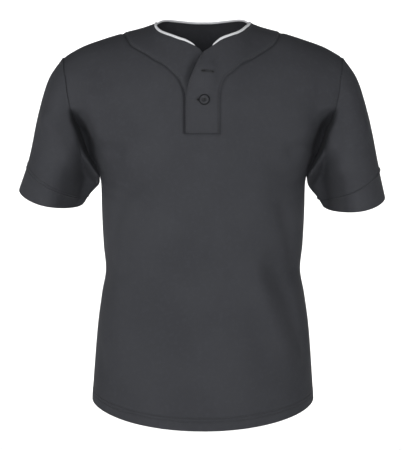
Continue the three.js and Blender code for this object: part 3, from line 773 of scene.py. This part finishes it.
def hang_back(turn, along, depth):
    """How far back the slack inner part of a sleeve hangs."""
    share = np.where(turn > 0, SLEEVE_HOLLOW["front"], SLEEVE_HOLLOW["back"])
    slack = ease((-np.cos(turn) - mix(*HOLLOW_FROM, along)) / HOLLOW_WIDTH)
    backwards = HOLLOW_BACKWARDS * ease(-np.cos(turn)) - depth * share * slack
    return backwards * ease((along - HOLLOW_START) / HOLLOW_LENGTH)


def sleeve_sheet(name, table, side):
    ring = sleeve_ring(table, side)
    loop, front_count = armhole_loop(side)
    turn = turn_round(loop, ring, front_count)
    stitched = [SLEEVE_LENGTH - stitch for stitch in CUFF_STITCHES[side]]
    along = spaced(SLEEVE_LENGTH, stitches=stitched)[:, None]
    to_armhole = (loop - ring(np.zeros_like(turn), turn)) * ((1 - along) ** 2)[..., None]
    places = ring(along + 0 * turn, turn + 0 * along) + to_armhole
    sheet = Sheet(name, places, CLOTH_WALL, closed=True, flip=side < 0)
    # At the armpit and on the shoulder a sleeve meets two panels, so it counts twice there
    sheet.doubled = (0, front_count - 1)
    sheet.tuck(places[:1, :, 1], places[:1, :, 2], sheet.v, TUCK_REACH_SLEEVE)
    sheet.tucked[..., 1] += hang_back(turn, along, places[..., 1])
    sheet.seam(sheet.v, ARMHOLE_DIP)
    sheet.hem((1 - along) * SLEEVE_LENGTH, CUFF_STITCHES[side], CUFF_SINK[side])
    sheet.stitched = nearest_rows(along[:, 0] * SLEEVE_LENGTH, stitched)
    return sheet


# Bands
def under_lift(x, z):
    """The under band sinks away beside the free edge of the over band."""
    free = over_edge_x(row_at(FRONT, x, z))
    sink = UNDER_SINK * bell(z - UNDER_SINK_Z, UNDER_SINK_REACH) * ease((x - free) / UNDER_SINK_WIDTH + 1)
    return BAND_PROUD - OVERLAP_STEP * np.clip((x + OVERLAP_HALF) / (2 * OVERLAP_HALF), 0, 1) - sink


def over_lift(x, z):
    """The over band steps up onto the under one and stands loose near the neck."""
    step = OVERLAP_STEP * np.clip((OVERLAP_HALF - x) / (2 * OVERLAP_HALF), 0, 1)
    loose = LOOSE_LIFT * bell(z - LOOSE_Z, LOOSE_REACH)
    return BAND_PROUD + step + loose * ease((OVERLAP_HALF - x) / LOOSE_EASE)


def front_outward(q, row):
    small = 0.01
    up = plain_body(FRONT, q, np.minimum(row + small, 1)) - plain_body(FRONT, q, row - small)
    along = plain_body(FRONT, q + small, row) - plain_body(FRONT, q - small, row)
    return unit(np.cross(along, up))


def on_front(x, row, lift):
    """Points of the front's face, moved out by a band's lift, with the outward directions."""
    q = x / section_half_width(FRONT, row)
    point = plain_body(FRONT, q, row)
    out = front_outward(q, row)
    height = fold_height(point) + unevenness(point) + lift(x, point[..., 2])
    return point + out * height[..., None], out


def band_sheet(name, seam_x, edge_x, lift, over):
    rows = rows_beside[:, None]
    across = spaced(BAND_WIDTH, step=BAND_STEP)[None, :]
    x = mix(seam_x(rows), edge_x(rows), across)
    places, _ = on_front(x, rows + 0 * x, lift)
    sheet = Sheet(name, places, BAND_WALL, flip=over)
    sheet.seam(sheet.u * BAND_SEAM_WIDENED, BAND_SEAM_DIP if over else gap_depth(places[..., 2]))
    sheet.seam(sheet.v[-1] - sheet.v)
    to_edge = sheet.u[:, -1:] - sheet.u
    for distance in (sheet.u, to_edge, sheet.v):
        sheet.dip = sheet.dip + EDGE_STITCH_SINK * bell(distance - EDGE_STITCH, STITCH_REACH)
    if over:
        sheet.dip = sheet.dip - EDGE_LIP * bell(to_edge - EDGE_LIP_PLACE, 1)
    rounded = np.maximum(bell(to_edge, EDGE_ROUND_REACH), bell(sheet.v, EDGE_ROUND_REACH))
    sheet.dip = np.maximum(sheet.dip, EDGE_ROUND * rounded)
    sheet.places = sheet.places - sheet.out * sheet.dip[..., None]
    return sheet


# Meshes
def mesh_object(name, points, faces, smooth=True):
    mesh = bpy.data.meshes.new(name)
    mesh.from_pydata((np.asarray(points) * MM).tolist(), [], faces)
    mesh.update()
    if smooth:
        mesh.polygons.foreach_set("use_smooth", [True] * len(mesh.polygons))
    piece = bpy.data.objects.new(name, mesh)
    bpy.context.scene.collection.objects.link(piece)
    return piece


def add_attribute(piece, name, values):
    layer = piece.data.attributes.new(name, "FLOAT", "POINT")
    layer.data.foreach_set("value", np.asarray(values, np.float32).ravel())


def tube_points(path, wide, high, sides):
    """Rings of points round a path, given half its width and height as directions."""
    turns = np.linspace(0, 2 * math.pi, sides, endpoint=False)
    rings = [path + wide * math.cos(turn) + high * math.sin(turn) for turn in turns]
    return np.stack(rings, 1).reshape(-1, 3)


def tube_faces(rings, sides):
    """The faces of a closed tube made of rings of points, with both its ends."""
    faces = []
    for k in range(rings - 1):
        low, high = k * sides, (k + 1) * sides
        for s in range(sides):
            n = (s + 1) % sides
            faces.append((low + s, low + n, high + n, high + s))
    faces.append(tuple(range(sides))[::-1])
    last = (rings - 1) * sides
    faces.append(tuple(last + s for s in range(sides)))
    return faces


def joined(name, shapes, faces):
    """One mesh of many shapes, each with the same faces over its own points."""
    count = len(shapes[0])
    all_faces = [tuple(k * count + c for c in face) for k in range(len(shapes)) for face in faces]
    return mesh_object(name, np.concatenate(shapes), all_faces)


def cloth_shell(sheet):
    """A panel as a thin closed shell, with its lengths kept for the materials."""
    columns = sheet.places.shape[1]
    inner = sheet.places - sheet.out * sheet.wall
    points = np.concatenate([sheet.places.reshape(-1, 3), inner.reshape(-1, 3)])
    under = len(points) // 2
    rows_padded = np.pad(sheet.keep, ((1, 1), (0, 0)))
    kept = np.pad(rows_padded, ((0, 0), (1, 1)), "wrap" if sheet.closed else "constant")
    faces = []
    for j, i in zip(*np.nonzero(sheet.keep)):
        ring = [(j, i), (j, i + 1), (j + 1, i + 1), (j + 1, i)]
        top = [row * columns + column % columns for row, column in ring]
        low = [corner + under for corner in top]
        faces.append(top)
        faces.append(low[::-1])
        beside = [kept[j, i + 1], kept[j + 1, i + 2], kept[j + 2, i + 1], kept[j + 1, i]]
        for k, covered in enumerate(beside):
            if not covered:
                n = (k + 1) % 4
                faces.append([top[k], low[k], low[n], top[n]])
    faces = np.array(faces)
    if sheet.flip:
        faces = faces[:, ::-1]
    used, index = np.unique(faces, return_inverse=True)
    piece = mesh_object(sheet.name, points[used], index.reshape(faces.shape).tolist())
    for name, values in (("cloth_u", sheet.u), ("cloth_v", sheet.v)):
        add_attribute(piece, name, np.tile(values.ravel(), 2)[used] * MM)
    return piece


# Shader values as Python expressions
class Value:
    """A socket that takes part in sums, so that an expression adds its Math nodes."""

    def __init__(self, tree, socket):
        self.tree = tree
        self.socket = socket

    def _math(self, operation, *others):
        inputs = dict(enumerate(others))
        return self.tree.node("ShaderNodeMath", {"operation": operation}, inputs)

    def __add__(self, other):
        return self._math("ADD", self, other)

    def __sub__(self, other):
        return self._math("SUBTRACT", self, other)

    def __rsub__(self, other):
        return self._math("SUBTRACT", other, self)

    def __mul__(self, other):
        return self._math("MULTIPLY", self, other)

    def __truediv__(self, other):
        return self._math("DIVIDE", self, other)

    __radd__ = __add__
    __rmul__ = __mul__

    def size(self):
        return self._math("ABSOLUTE", self)

    def fraction(self):
        return self._math("FRACT", self)

    def rise(self, low, high):
        """0 below low, 1 above high, smooth between."""
        settings = {"interpolation_type": "SMOOTHSTEP"}
        return self.tree.node("ShaderNodeMapRange", settings, {0: self, 1: low, 2: high})


class Material:
    """A node material built from one method for nodes and one for its finish."""

    def __init__(self, name):
        self.material = bpy.data.materials.new(name)
        self.material.use_nodes = True
        self.nodes = self.material.node_tree.nodes
        self.links = self.material.node_tree.links
        self.shader = self.nodes["Principled BSDF"]

    def node(self, kind, settings=None, inputs=None, output=0):
        node = self.nodes.new(kind)
        for key, value in (settings or {}).items():
            setattr(node, key, value)
        for key, value in (inputs or {}).items():
            self.feed(node.inputs[key], value)
        return Value(self, node.outputs[output])

    def feed(self, socket, value):
        if isinstance(value, Value):
            self.links.new(value.socket, socket)
        else:
            socket.default_value = value

    def attribute(self, name):
        return self.node("ShaderNodeAttribute", {"attribute_name": name}, output="Fac")

    def position(self):
        return self.node("ShaderNodeTexCoord", output="Object")

    def noise(self, scale, detail, roughness):
        inputs = {"Vector": self.position(), "Scale": scale, "Detail": detail, "Roughness": roughness}
        return self.node("ShaderNodeTexNoise", None, inputs)

    def blend(self, factor, first, second):
        inputs = {"Factor": factor, 6: first, 7: second}
        return self.node("ShaderNodeMix", {"data_type": "RGBA"}, inputs, output=2)

    def bump(self, height, distance, strength):
        inputs = {"Height": height, "Distance": distance, "Strength": strength}
        return self.node("ShaderNodeBump", None, inputs)

    def finish(self, **sockets):
        """Feeds the surface shader by its sockets' names, with _ for a space."""
        for name, value in sockets.items():
            self.feed(self.shader.inputs[name.replace("_", " ")], value)
        return self.material


def rgb(red, green, blue):
    """A colour given as the 0-255 values that a screen shows."""
    shown = np.array([red, green, blue]) / 255
    linear = np.where(shown > 0.04045, ((shown + 0.055) / 1.055) ** 2.4, shown / 12.92)
    return (*linear.tolist(), 1.0)


# Colours
CHARCOAL = rgb(64, 65, 69)
CHARCOAL_WORN_AND_PAINTED_SHADE = rgb(59, 60, 64)
CHARCOAL_LIGHT = rgb(72, 73, 78)
CHARCOAL_SHEEN = rgb(190, 193, 200)
WHITE = rgb(236, 237, 240)
WHITE_WORN = rgb(220, 222, 227)
WHITE_SHADED = rgb(205, 208, 214)
THREAD = rgb(38, 39, 42)
THREAD_PAINTED_HIGHLIGHT = rgb(50, 51, 54)
THREAD_DARK = rgb(24, 25, 27)
THREAD_DARK_PAINTED_HIGHLIGHT = rgb(34, 35, 38)
BUTTON_GREY = rgb(51, 52, 56)
BUTTON_LIGHT = rgb(58, 59, 63)
BUTTON_PAINTED_SHADOW = rgb(30, 31, 34)
SLIT_DARK = rgb(16, 16, 18)
SLIT_LIGHT = rgb(30, 30, 33)
STAGE_PALE = rgb(243, 243, 243)
STAGE_WHITE = rgb(247, 247, 247)

# Width of the knit's ribs, height of its loops and width of the twill's ribs, in metres
WALE = 0.0011
COURSE = 0.0009
TWILL = 0.0012


# Materials
def knit(u, v):
    """Height of a fine knit: columns of slanting loops."""
    slant = ((u / WALE).fraction() - 0.5).size()
    loops = ((v / COURSE + slant * 1.4).fraction() - 0.5).size() * 2
    rib = 1 - slant * 2
    return rib * 0.6 + (1 - loops) * 0.4 * rib


def jersey_material():
    """Charcoal knit, a little mottled, with a trace of wear and lint, and painted shade where its loops
    sink.
    """
    cloth = Material("jersey_cloth")
    height = knit(cloth.attribute("cloth_u"), cloth.attribute("cloth_v"))
    wear = cloth.noise(9, 4, 0.55)
    mottle = cloth.noise(140, 3, 0.6)
    lint = cloth.noise(900, 2, 0.5).rise(0.62, 0.72)
    shade = cloth.blend(wear.rise(0.35, 0.68), CHARCOAL_WORN_AND_PAINTED_SHADE, CHARCOAL)
    shade = cloth.blend(mottle.rise(0.45, 0.75) * 0.35, shade, CHARCOAL_LIGHT)
    # Painted shade: the knit is drawn darker in the grooves between its loops
    shade = cloth.blend((1 - height) * 0.3, shade, CHARCOAL_WORN_AND_PAINTED_SHADE)
    shade = cloth.blend(lint * 0.15, shade, CHARCOAL_LIGHT)
    return cloth.finish(
        Base_Color=shade,
        Roughness=0.78 + mottle * 0.12 - wear * 0.06,
        Normal=cloth.bump(height * 0.7 + mottle * 0.5, 0.0003, 0.4),
        Sheen_Weight=0.04,
        Sheen_Roughness=0.4,
        Sheen_Tint=CHARCOAL_SHEEN,
        Specular_IOR_Level=0.15,
    )


def piping_material():
    """White twill, slightly soiled."""
    cloth = Material("piping_cloth")
    ribs = cloth.attribute("cloth_u") / TWILL + cloth.attribute("cloth_v") / TWILL
    twill = (ribs.fraction() - 0.5).size() * 2
    soil = cloth.noise(60, 4, 0.6)
    shade = cloth.blend(soil.rise(0.4, 0.7) * 0.5, WHITE, WHITE_WORN)
    shade = cloth.blend(twill * 0.15, shade, WHITE_SHADED)
    return cloth.finish(
        Base_Color=shade,
        Roughness=0.7 + soil * 0.1,
        Normal=cloth.bump(twill + soil * 0.4, 0.0003, 0.5),
        Sheen_Weight=0.2,
        Sheen_Roughness=0.5,
        Specular_IOR_Level=0.3,
    )


def thread_material(name, colour, light):
    """Twisted thread, with a painted highlight where its plies stand up."""
    thread = Material(name)
    ply = thread.noise(2600, 2, 0.5)
    return thread.finish(
        # Painted highlight: the raised plies are drawn in the lighter colour
        Base_Color=thread.blend(ply.rise(0.35, 0.65), colour, light),
        Roughness=0.5 + ply * 0.15,
        Normal=thread.bump(ply, 0.0002, 0.4),
        Sheen_Weight=0.15,
        Specular_IOR_Level=0.4,
    )


def button_material(centre):
    """Moulded resin, with a painted shadow along its outer edge and in its middle."""
    resin = Material("button_resin")
    inputs = {0: resin.position(), 1: tuple(centre * MM)}
    away = resin.node("ShaderNodeVectorMath", {"operation": "DISTANCE"}, inputs, output="Value")
    cloud = resin.noise(160, 4, 0.6)
    scratch = resin.noise(1200, 3, 0.7)
    shade = resin.blend(cloud.rise(0.35, 0.7), BUTTON_GREY, BUTTON_LIGHT)
    # Painted shadow: a dark ring at the rim and a dark middle, where shade falls round the button and into
    # its holes
    shade = resin.blend(away.rise(0.0078, 0.0085), shade, BUTTON_PAINTED_SHADOW)
    shade = resin.blend(away.rise(0.0022, 0.0034), BUTTON_PAINTED_SHADOW, shade)
    return resin.finish(
        Base_Color=shade,
        Roughness=0.5 + scratch * 0.12,
        Normal=resin.bump(scratch * 0.3 + cloud * 0.2, 0.0003, 0.25),
        Specular_IOR_Level=0.25,
    )


def slit_material():
    """The shadow inside a buttonhole."""
    dark = Material("buttonhole_dark")
    shade = dark.blend(dark.noise(1500, 2, 0.5), SLIT_DARK, SLIT_LIGHT)
    return dark.finish(Base_Color=shade, Roughness=0.9, Specular_IOR_Level=0.1)


def stage_material():
    paint = Material("stage_paint")
    shade = paint.blend(paint.noise(3, 3, 0.5), STAGE_PALE, STAGE_WHITE)
    return paint.finish(Base_Color=shade, Roughness=0.9, Specular_IOR_Level=0.1)


def wear_finish(piece, material, node=None):
    """Gives a piece its material, attaches it to the root body and hides the part of the solids that it
    stands for, if one is named.
    """
    piece.data.materials.append(material)
    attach(piece, "root")
    if node:
        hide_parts(node)
    return piece


# Paths along the cloth
def lengths_along(points):
    return np.concatenate([[0], np.linalg.norm(np.diff(points, axis=0), axis=-1).cumsum()])


def values_at(values, lengths, at):
    """Points or directions read off a path at lengths along it."""
    return np.stack([np.interp(at, lengths, values[..., k]) for k in range(3)], -1)


def row_path(sheet, row):
    """One row of a sheet as a path, closed where the sheet is a tube."""
    path, out = sheet.places[row], sheet.out[row]
    if sheet.closed:
        path = np.concatenate([path, path[:1]])
        out = np.concatenate([out, out[:1]])
    return path, out


def line_at(sheet, distance, from_foot=False):
    """The path at a distance from a sheet's first column, or from its foot, with outward directions."""
    tables = [sheet.places, sheet.out, sheet.v if from_foot else sheet.u]
    if from_foot:
        tables = [np.swapaxes(table, 0, 1) for table in tables]
    places, outs, lengths = tables
    distances = np.broadcast_to(distance, len(lengths))
    path = np.array([values_at(*row) for row in zip(places, lengths, distances)])
    out = np.array([values_at(*row) for row in zip(outs, lengths, distances)])
    return path, unit(out)


# Sewing
def along_path(points, outs, step):
    """Places, directions and outward directions at even steps of a path."""
    lengths = lengths_along(points)
    count = max(1, int(lengths[-1] / step))
    at = (np.arange(count) + 0.5) * lengths[-1] / count
    ahead = values_at(points, lengths, at + 0.5) - values_at(points, lengths, at - 0.5)
    return values_at(points, lengths, at), unit(ahead), unit(values_at(outs, lengths, at))


def stitch_points(length, radius):
    """A short thread: rings along x that sink at both ends."""
    place, size, height = np.array(STITCH_RINGS).T[..., None]
    path = place * length * X + height * radius * Z
    return tube_points(path, size * radius * Y, size * radius * Z, STITCH_SIDES)


def sewn(name, paths, material, stitch=RUNNING_STITCH, across=False):
    """Rows of stitches along paths, joined into one mesh."""
    shape = stitch_points(stitch["length"], stitch["radius"])
    stitches = []
    for path, outs in paths:
        place, ahead, out = along_path(path, outs, stitch["step"])
        side = unit(np.cross(out, ahead))
        first, second = (side, -ahead) if across else (ahead, side)
        turned = np.stack([first, second, out], 1)
        stitches.extend(place[k] + shape @ turned[k] for k in range(len(place)))
    piece = joined(name, stitches, tube_faces(len(STITCH_RINGS), STITCH_SIDES))
    return wear_finish(piece, material)


# Piping
def neck_edge(under, over, back):
    """The edge of the neck, up one band, round the back's neck and down the other band."""
    places, outs = [], []
    for sheet, end in ((under, UNDER_NECK_END), (over, OVER_NECK_END)):
        chosen = rows_beside > float(row_at(FRONT, *end))
        places.append(sheet.places[chosen, -1])
        outs.append(sheet.out[chosen, -1])
    first, last = back.neck
    nape = slice(last - 1, first, -1)
    path = np.concatenate([places[0], back.places[-1, nape], places[1][::-1]])
    out = np.concatenate([outs[0], back.out[-1, nape], outs[1][::-1]])
    return path, out


def smoothed(values, times):
    for _ in range(times):
        values = values.copy()
        values[1:-1] = (values[:-2] + 2 * values[1:-1] + values[2:]) / 4
    return values


def piping_piece(edge, edge_out):
    """A flattened tube beside the neck edge, tapering to a point at each end."""
    lengths = lengths_along(edge)
    at = np.linspace(0, lengths[-1], PIPING_RINGS)
    path = smoothed(values_at(edge, lengths, at), PIPING_SMOOTHING["path"])
    out = unit(smoothed(unit(values_at(edge_out, lengths, at)), PIPING_SMOOTHING["out"]))
    away = unit(np.cross(unit(np.gradient(path, axis=0)), out))
    away *= np.sign(((path.mean(0) - path) * away).sum(-1, keepdims=True))
    to_end = np.minimum(at, at[-1] - at)
    size = mix(PIPING_TIP, 1, np.sqrt(np.clip(to_end / PIPING_TAPER, 0, 1)))[:, None]
    centre = path + away * (PIPING_HALF_WIDTH * size - PIPING_OVER_EDGE) - out * CLOTH_WALL / 2
    wide = away * PIPING_HALF_WIDTH * size
    high = out * PIPING_HALF_HEIGHT * size
    faces = [face[::-1] for face in tube_faces(PIPING_RINGS, PIPING_SIDES)]
    piece = mesh_object("piping_cord", tube_points(centre, wide, high, PIPING_SIDES), faces)
    turns = np.linspace(0, 4 * math.pi, PIPING_SIDES, endpoint=False)
    add_attribute(piece, "cloth_u", np.repeat(at, PIPING_SIDES) * MM)
    add_attribute(piece, "cloth_v", np.tile(turns, PIPING_RINGS) * MM)
    return piece


# Buttons
def disc(profile, sides):
    """A turned shape: rings round an axis from a list of radii and heights."""
    radius, height = np.array(profile).T[..., None]
    return tube_points(height * Z, radius * X, radius * Y, sides), tube_faces(len(profile), sides)


def placed(points, place, out):
    """A button's own points, moved to its place on the cloth."""
    side = unit(np.cross(Z, out))
    up = np.cross(out, side)
    return place + points @ np.stack([side, up, out])


def button_seat(spot, lift):
    """The place and the outward direction of a button on a band."""
    x, z = spot
    row = np.array([float(row_at(FRONT, x, z))])
    place, out = on_front(np.array([float(x)]), row, lambda a, b: lift(a, b) + BUTTON_SEAT)
    return place[0], out[0]


def button_profile():
    """Radii and heights from the underside, round the rim and down into the dish."""
    rim = BUTTON_RADIUS - BUTTON_RIM
    top = BUTTON_THICKNESS
    dish = BUTTON_DISH_RADIUS
    low = top - BUTTON_DISH
    return [
        (BUTTON_RADIUS - 0.7, 0),
        (BUTTON_RADIUS - 0.1, 0.2),
        (BUTTON_RADIUS, 0.6),
        (BUTTON_RADIUS - 0.4, 1.2),
        (rim, top - 0.25),
        (rim - 0.5, top),
        (dish + 0.5, top),
        (dish, top - 0.25),
        (dish - 0.7, low + 0.2),
        (dish - 1.3, low),
        (0.6, low),
    ]


def drill(piece, place, out):
    """Cuts the four holes through a button."""
    radius = BUTTON_HOLE_RADIUS
    points, faces = disc([(radius, -1), (radius, BUTTON_THICKNESS + 1)], BUTTON_HOLE_SIDES)
    holes = []
    for a in (-1, 1):
        for b in (-1, 1):
            moved = points + (a * X + b * Y) * BUTTON_HOLE_SPREAD
            holes.append(mesh_object("hole", placed(moved, place, out), faces, smooth=False))
    for hole in holes:
        cut = piece.modifiers.new("hole", "BOOLEAN")
        cut.operation = "DIFFERENCE"
        cut.object = hole
        cut.solver = "EXACT"
    bpy.context.view_layer.update()
    drilled = piece.evaluated_get(bpy.context.evaluated_depsgraph_get())
    mesh = bpy.data.meshes.new_from_object(drilled)
    piece.modifiers.clear()
    piece.data = mesh
    for hole in holes:
        bpy.data.objects.remove(hole)


def button(name, place, out, node):
    points, faces = disc(button_profile(), BUTTON_SIDES)
    piece = mesh_object(name, placed(points, place, out), faces)
    drill(piece, place, out)
    soften = piece.modifiers.new("soften", "BEVEL")
    soften.width = BUTTON_BEVEL * MM
    soften.segments = 2
    soften.angle_limit = math.radians(BUTTON_BEVEL_ANGLE)
    return wear_finish(piece, button_material(place), node)


def button_thread(name, place, out, material):
    """Three threads side by side along each diagonal of the four holes, arched in the middle."""
    level = BUTTON_THICKNESS - BUTTON_DISH + BUTTON_THREAD_TOP
    t = np.linspace(0, 1, BUTTON_THREAD_PARTS)[:, None]
    threads = []
    for a in (-1, 1):
        start = (-a * X - Y) * BUTTON_HOLE_SPREAD * BUTTON_THREAD_REACH
        for offset in BUTTON_THREAD_OFFSETS:
            line = mix(start, -start, t) + (a * X - Y) * offset
            arch = np.sin(math.pi * t[:, 0]) ** BUTTON_THREAD_ARCH
            line[:, 2] = level + BUTTON_THREAD_RISE * (arch - 1)
            ahead = unit(np.gradient(line, axis=0))
            side = unit(np.cross(ahead, Z))
            high = np.cross(side, ahead)
            around = (side * BUTTON_THREAD_RADIUS, high * BUTTON_THREAD_RADIUS)
            threads.append(placed(tube_points(line, *around, BUTTON_THREAD_SIDES), place, out))
    piece = joined(name, threads, tube_faces(BUTTON_THREAD_PARTS, BUTTON_THREAD_SIDES))
    return wear_finish(piece, material)


# Buttonholes
def on_over_band(x, z):
    return on_front(x, row_at(FRONT, x, z), over_lift)


def buttonhole(name, spot, slope, slit_half_height, thread, dark):
    """A dark slit inside a long ring of tight cross stitches."""
    middle_x, middle_z = spot
    turn = np.linspace(0, 2 * math.pi, HOLE_PARTS)
    rounded = np.sign(np.cos(turn)) * np.abs(np.cos(turn)) ** HOLE_ROUNDNESS
    ring_x = middle_x + HOLE_HALF_LENGTH * rounded
    ring_z = middle_z + HOLE_HALF_HEIGHT * np.sin(turn) + slope * (ring_x - middle_x)
    sewn(f"{name}_stitching", [on_over_band(ring_x, ring_z)], thread, HOLE_STITCH, across=True)
    slit_x = middle_x + (HOLE_HALF_LENGTH - SLIT_SHORTER) * np.cos(turn[:-1])
    slit_z = middle_z + slit_half_height * np.sin(turn[:-1]) + slope * (slit_x - middle_x)
    place, out = on_over_band(slit_x, slit_z)
    points = np.concatenate([place - out * SLIT_SINK, place + out * SLIT_PROUD])
    piece = mesh_object(f"{name}_slit", points, tube_faces(2, len(place)), smooth=False)
    return wear_finish(piece, dark)


# Studio
def sweep():
    """A floor that curves up into a backdrop."""
    profile = [(-STAGE_HALF, FLOOR_Z), (WALL_Y - SWEEP_RADIUS, FLOOR_Z)]
    for k in range(1, SWEEP_PARTS + 1):
        angle = math.pi / 2 * k / SWEEP_PARTS
        y = WALL_Y - SWEEP_RADIUS * (1 - math.sin(angle))
        z = FLOOR_Z + SWEEP_RADIUS * (1 - math.cos(angle))
        profile.append((y, z))
    profile.append((WALL_Y, WALL_TOP_Z))
    points = [(side * STAGE_HALF, y, z) for y, z in profile for side in (-1, 1)]
    faces = [(2 * k, 2 * k + 1, 2 * k + 3, 2 * k + 2) for k in range(len(profile) - 1)]
    floor = mesh_object("studio_floor", points, faces)
    floor.data.materials.append(stage_material())


def area_light(name, place, aim, size, power):
    data = bpy.data.lights.new(name, "AREA")
    data.shape = "RECTANGLE"
    data.size, data.size_y = size
    data.energy = power
    light = bpy.data.objects.new(name, data)
    bpy.context.scene.collection.objects.link(light)
    light.location = place
    toward = Vector(aim) - Vector(place)
    light.rotation_euler = toward.to_track_quat("-Z", "Y").to_euler()


def camera():
    """Looks level at the jersey from the distance that the photograph was taken from."""
    data = bpy.data.cameras.new("camera")
    data.sensor_width = SENSOR
    data.lens = SENSOR * CAMERA_DISTANCE / PICTURE_HEIGHT
    data.clip_end = CLIP_END * MM
    eye = bpy.data.objects.new("camera", data)
    bpy.context.scene.collection.objects.link(eye)
    x, z = PICTURE_CENTRE
    eye.location = (x * MM, -CAMERA_DISTANCE * MM, z * MM)
    eye.rotation_euler = (math.pi / 2, 0, 0)
    bpy.context.scene.camera = eye


def studio():
    sweep()
    for name, light in LIGHTS.items():
        area_light(name, *light)
    world = bpy.data.worlds.new("studio_air")
    world.use_nodes = True
    background = world.node_tree.nodes["Background"]
    background.inputs["Color"].default_value = (1, 1, 1, 1)
    background.inputs["Strength"].default_value = AIR_STRENGTH
    bpy.context.scene.world = world
    bpy.context.scene.view_settings.view_transform = "Standard"


# The jersey's cloth
front = front_sheet()
back = back_sheet()
sleeve_left = sleeve_sheet("sleeve_left_cloth", SLEEVE_LEFT, -1)
sleeve_right = sleeve_sheet("sleeve_right_cloth", SLEEVE_RIGHT, 1)
share_directions([front, back, sleeve_left, sleeve_right])
for sheet in (front, back, sleeve_left, sleeve_right):
    sheet.settle()
band_under = band_sheet("band_under_cloth", seam_left_x, under_edge_x, under_lift, over=False)
band_over = band_sheet("band_over_cloth", seam_right_x, over_edge_x, over_lift, over=True)

panels = {
    "front": front,
    "back": back,
    "sleeve_left": sleeve_left,
    "sleeve_right": sleeve_right,
    "band_under": band_under,
    "band_over": band_over,
}
cloth = jersey_material()
for node, sheet in panels.items():
    wear_finish(cloth_shell(sheet), cloth, node)
piping = piping_piece(*neck_edge(band_under, band_over, back))
wear_finish(piping, piping_material(), "neck_piping")

# Its stitching
thread = thread_material("charcoal_thread", THREAD, THREAD_PAINTED_HIGHLIGHT)
hem_rows = nearest_rows(below * BODY_LENGTH, HEM_STITCHES)
hem_lines = [row_path(sheet, row) for sheet in (front, back) for row in hem_rows]
sewn("hem_stitching", hem_lines, thread)
for side, sheet in (("left", sleeve_left), ("right", sleeve_right)):
    cuff_lines = [row_path(sheet, row) for row in sheet.stitched]
    sewn(f"cuff_stitching_{side}", cuff_lines, thread)
seam_lines = [line_at(band, EDGE_STITCH) for band in (band_under, band_over)]
free_line = line_at(band_over, band_over.u[:, -1] - EDGE_STITCH)
foot_line = line_at(band_over, EDGE_STITCH, from_foot=True)
sewn("band_stitching", [*seam_lines, free_line, foot_line], thread)

# Its buttons and buttonholes
dark_thread = thread_material("dark_thread", THREAD_DARK, THREAD_DARK_PAINTED_HIGHLIGHT)
for where, lift in (("lower", over_lift), ("upper", under_lift)):
    place, out = button_seat(BUTTONS[where], lift)
    button(f"{where}_button", place, out, f"button_{where}")
    button_thread(f"{where}_button_thread", place, out, dark_thread)
dark = slit_material()
for name, (spot, slope, slit_half_height) in BUTTONHOLES.items():
    buttonhole(name, spot, slope, slit_half_height, dark_thread, dark)

camera()
studio()
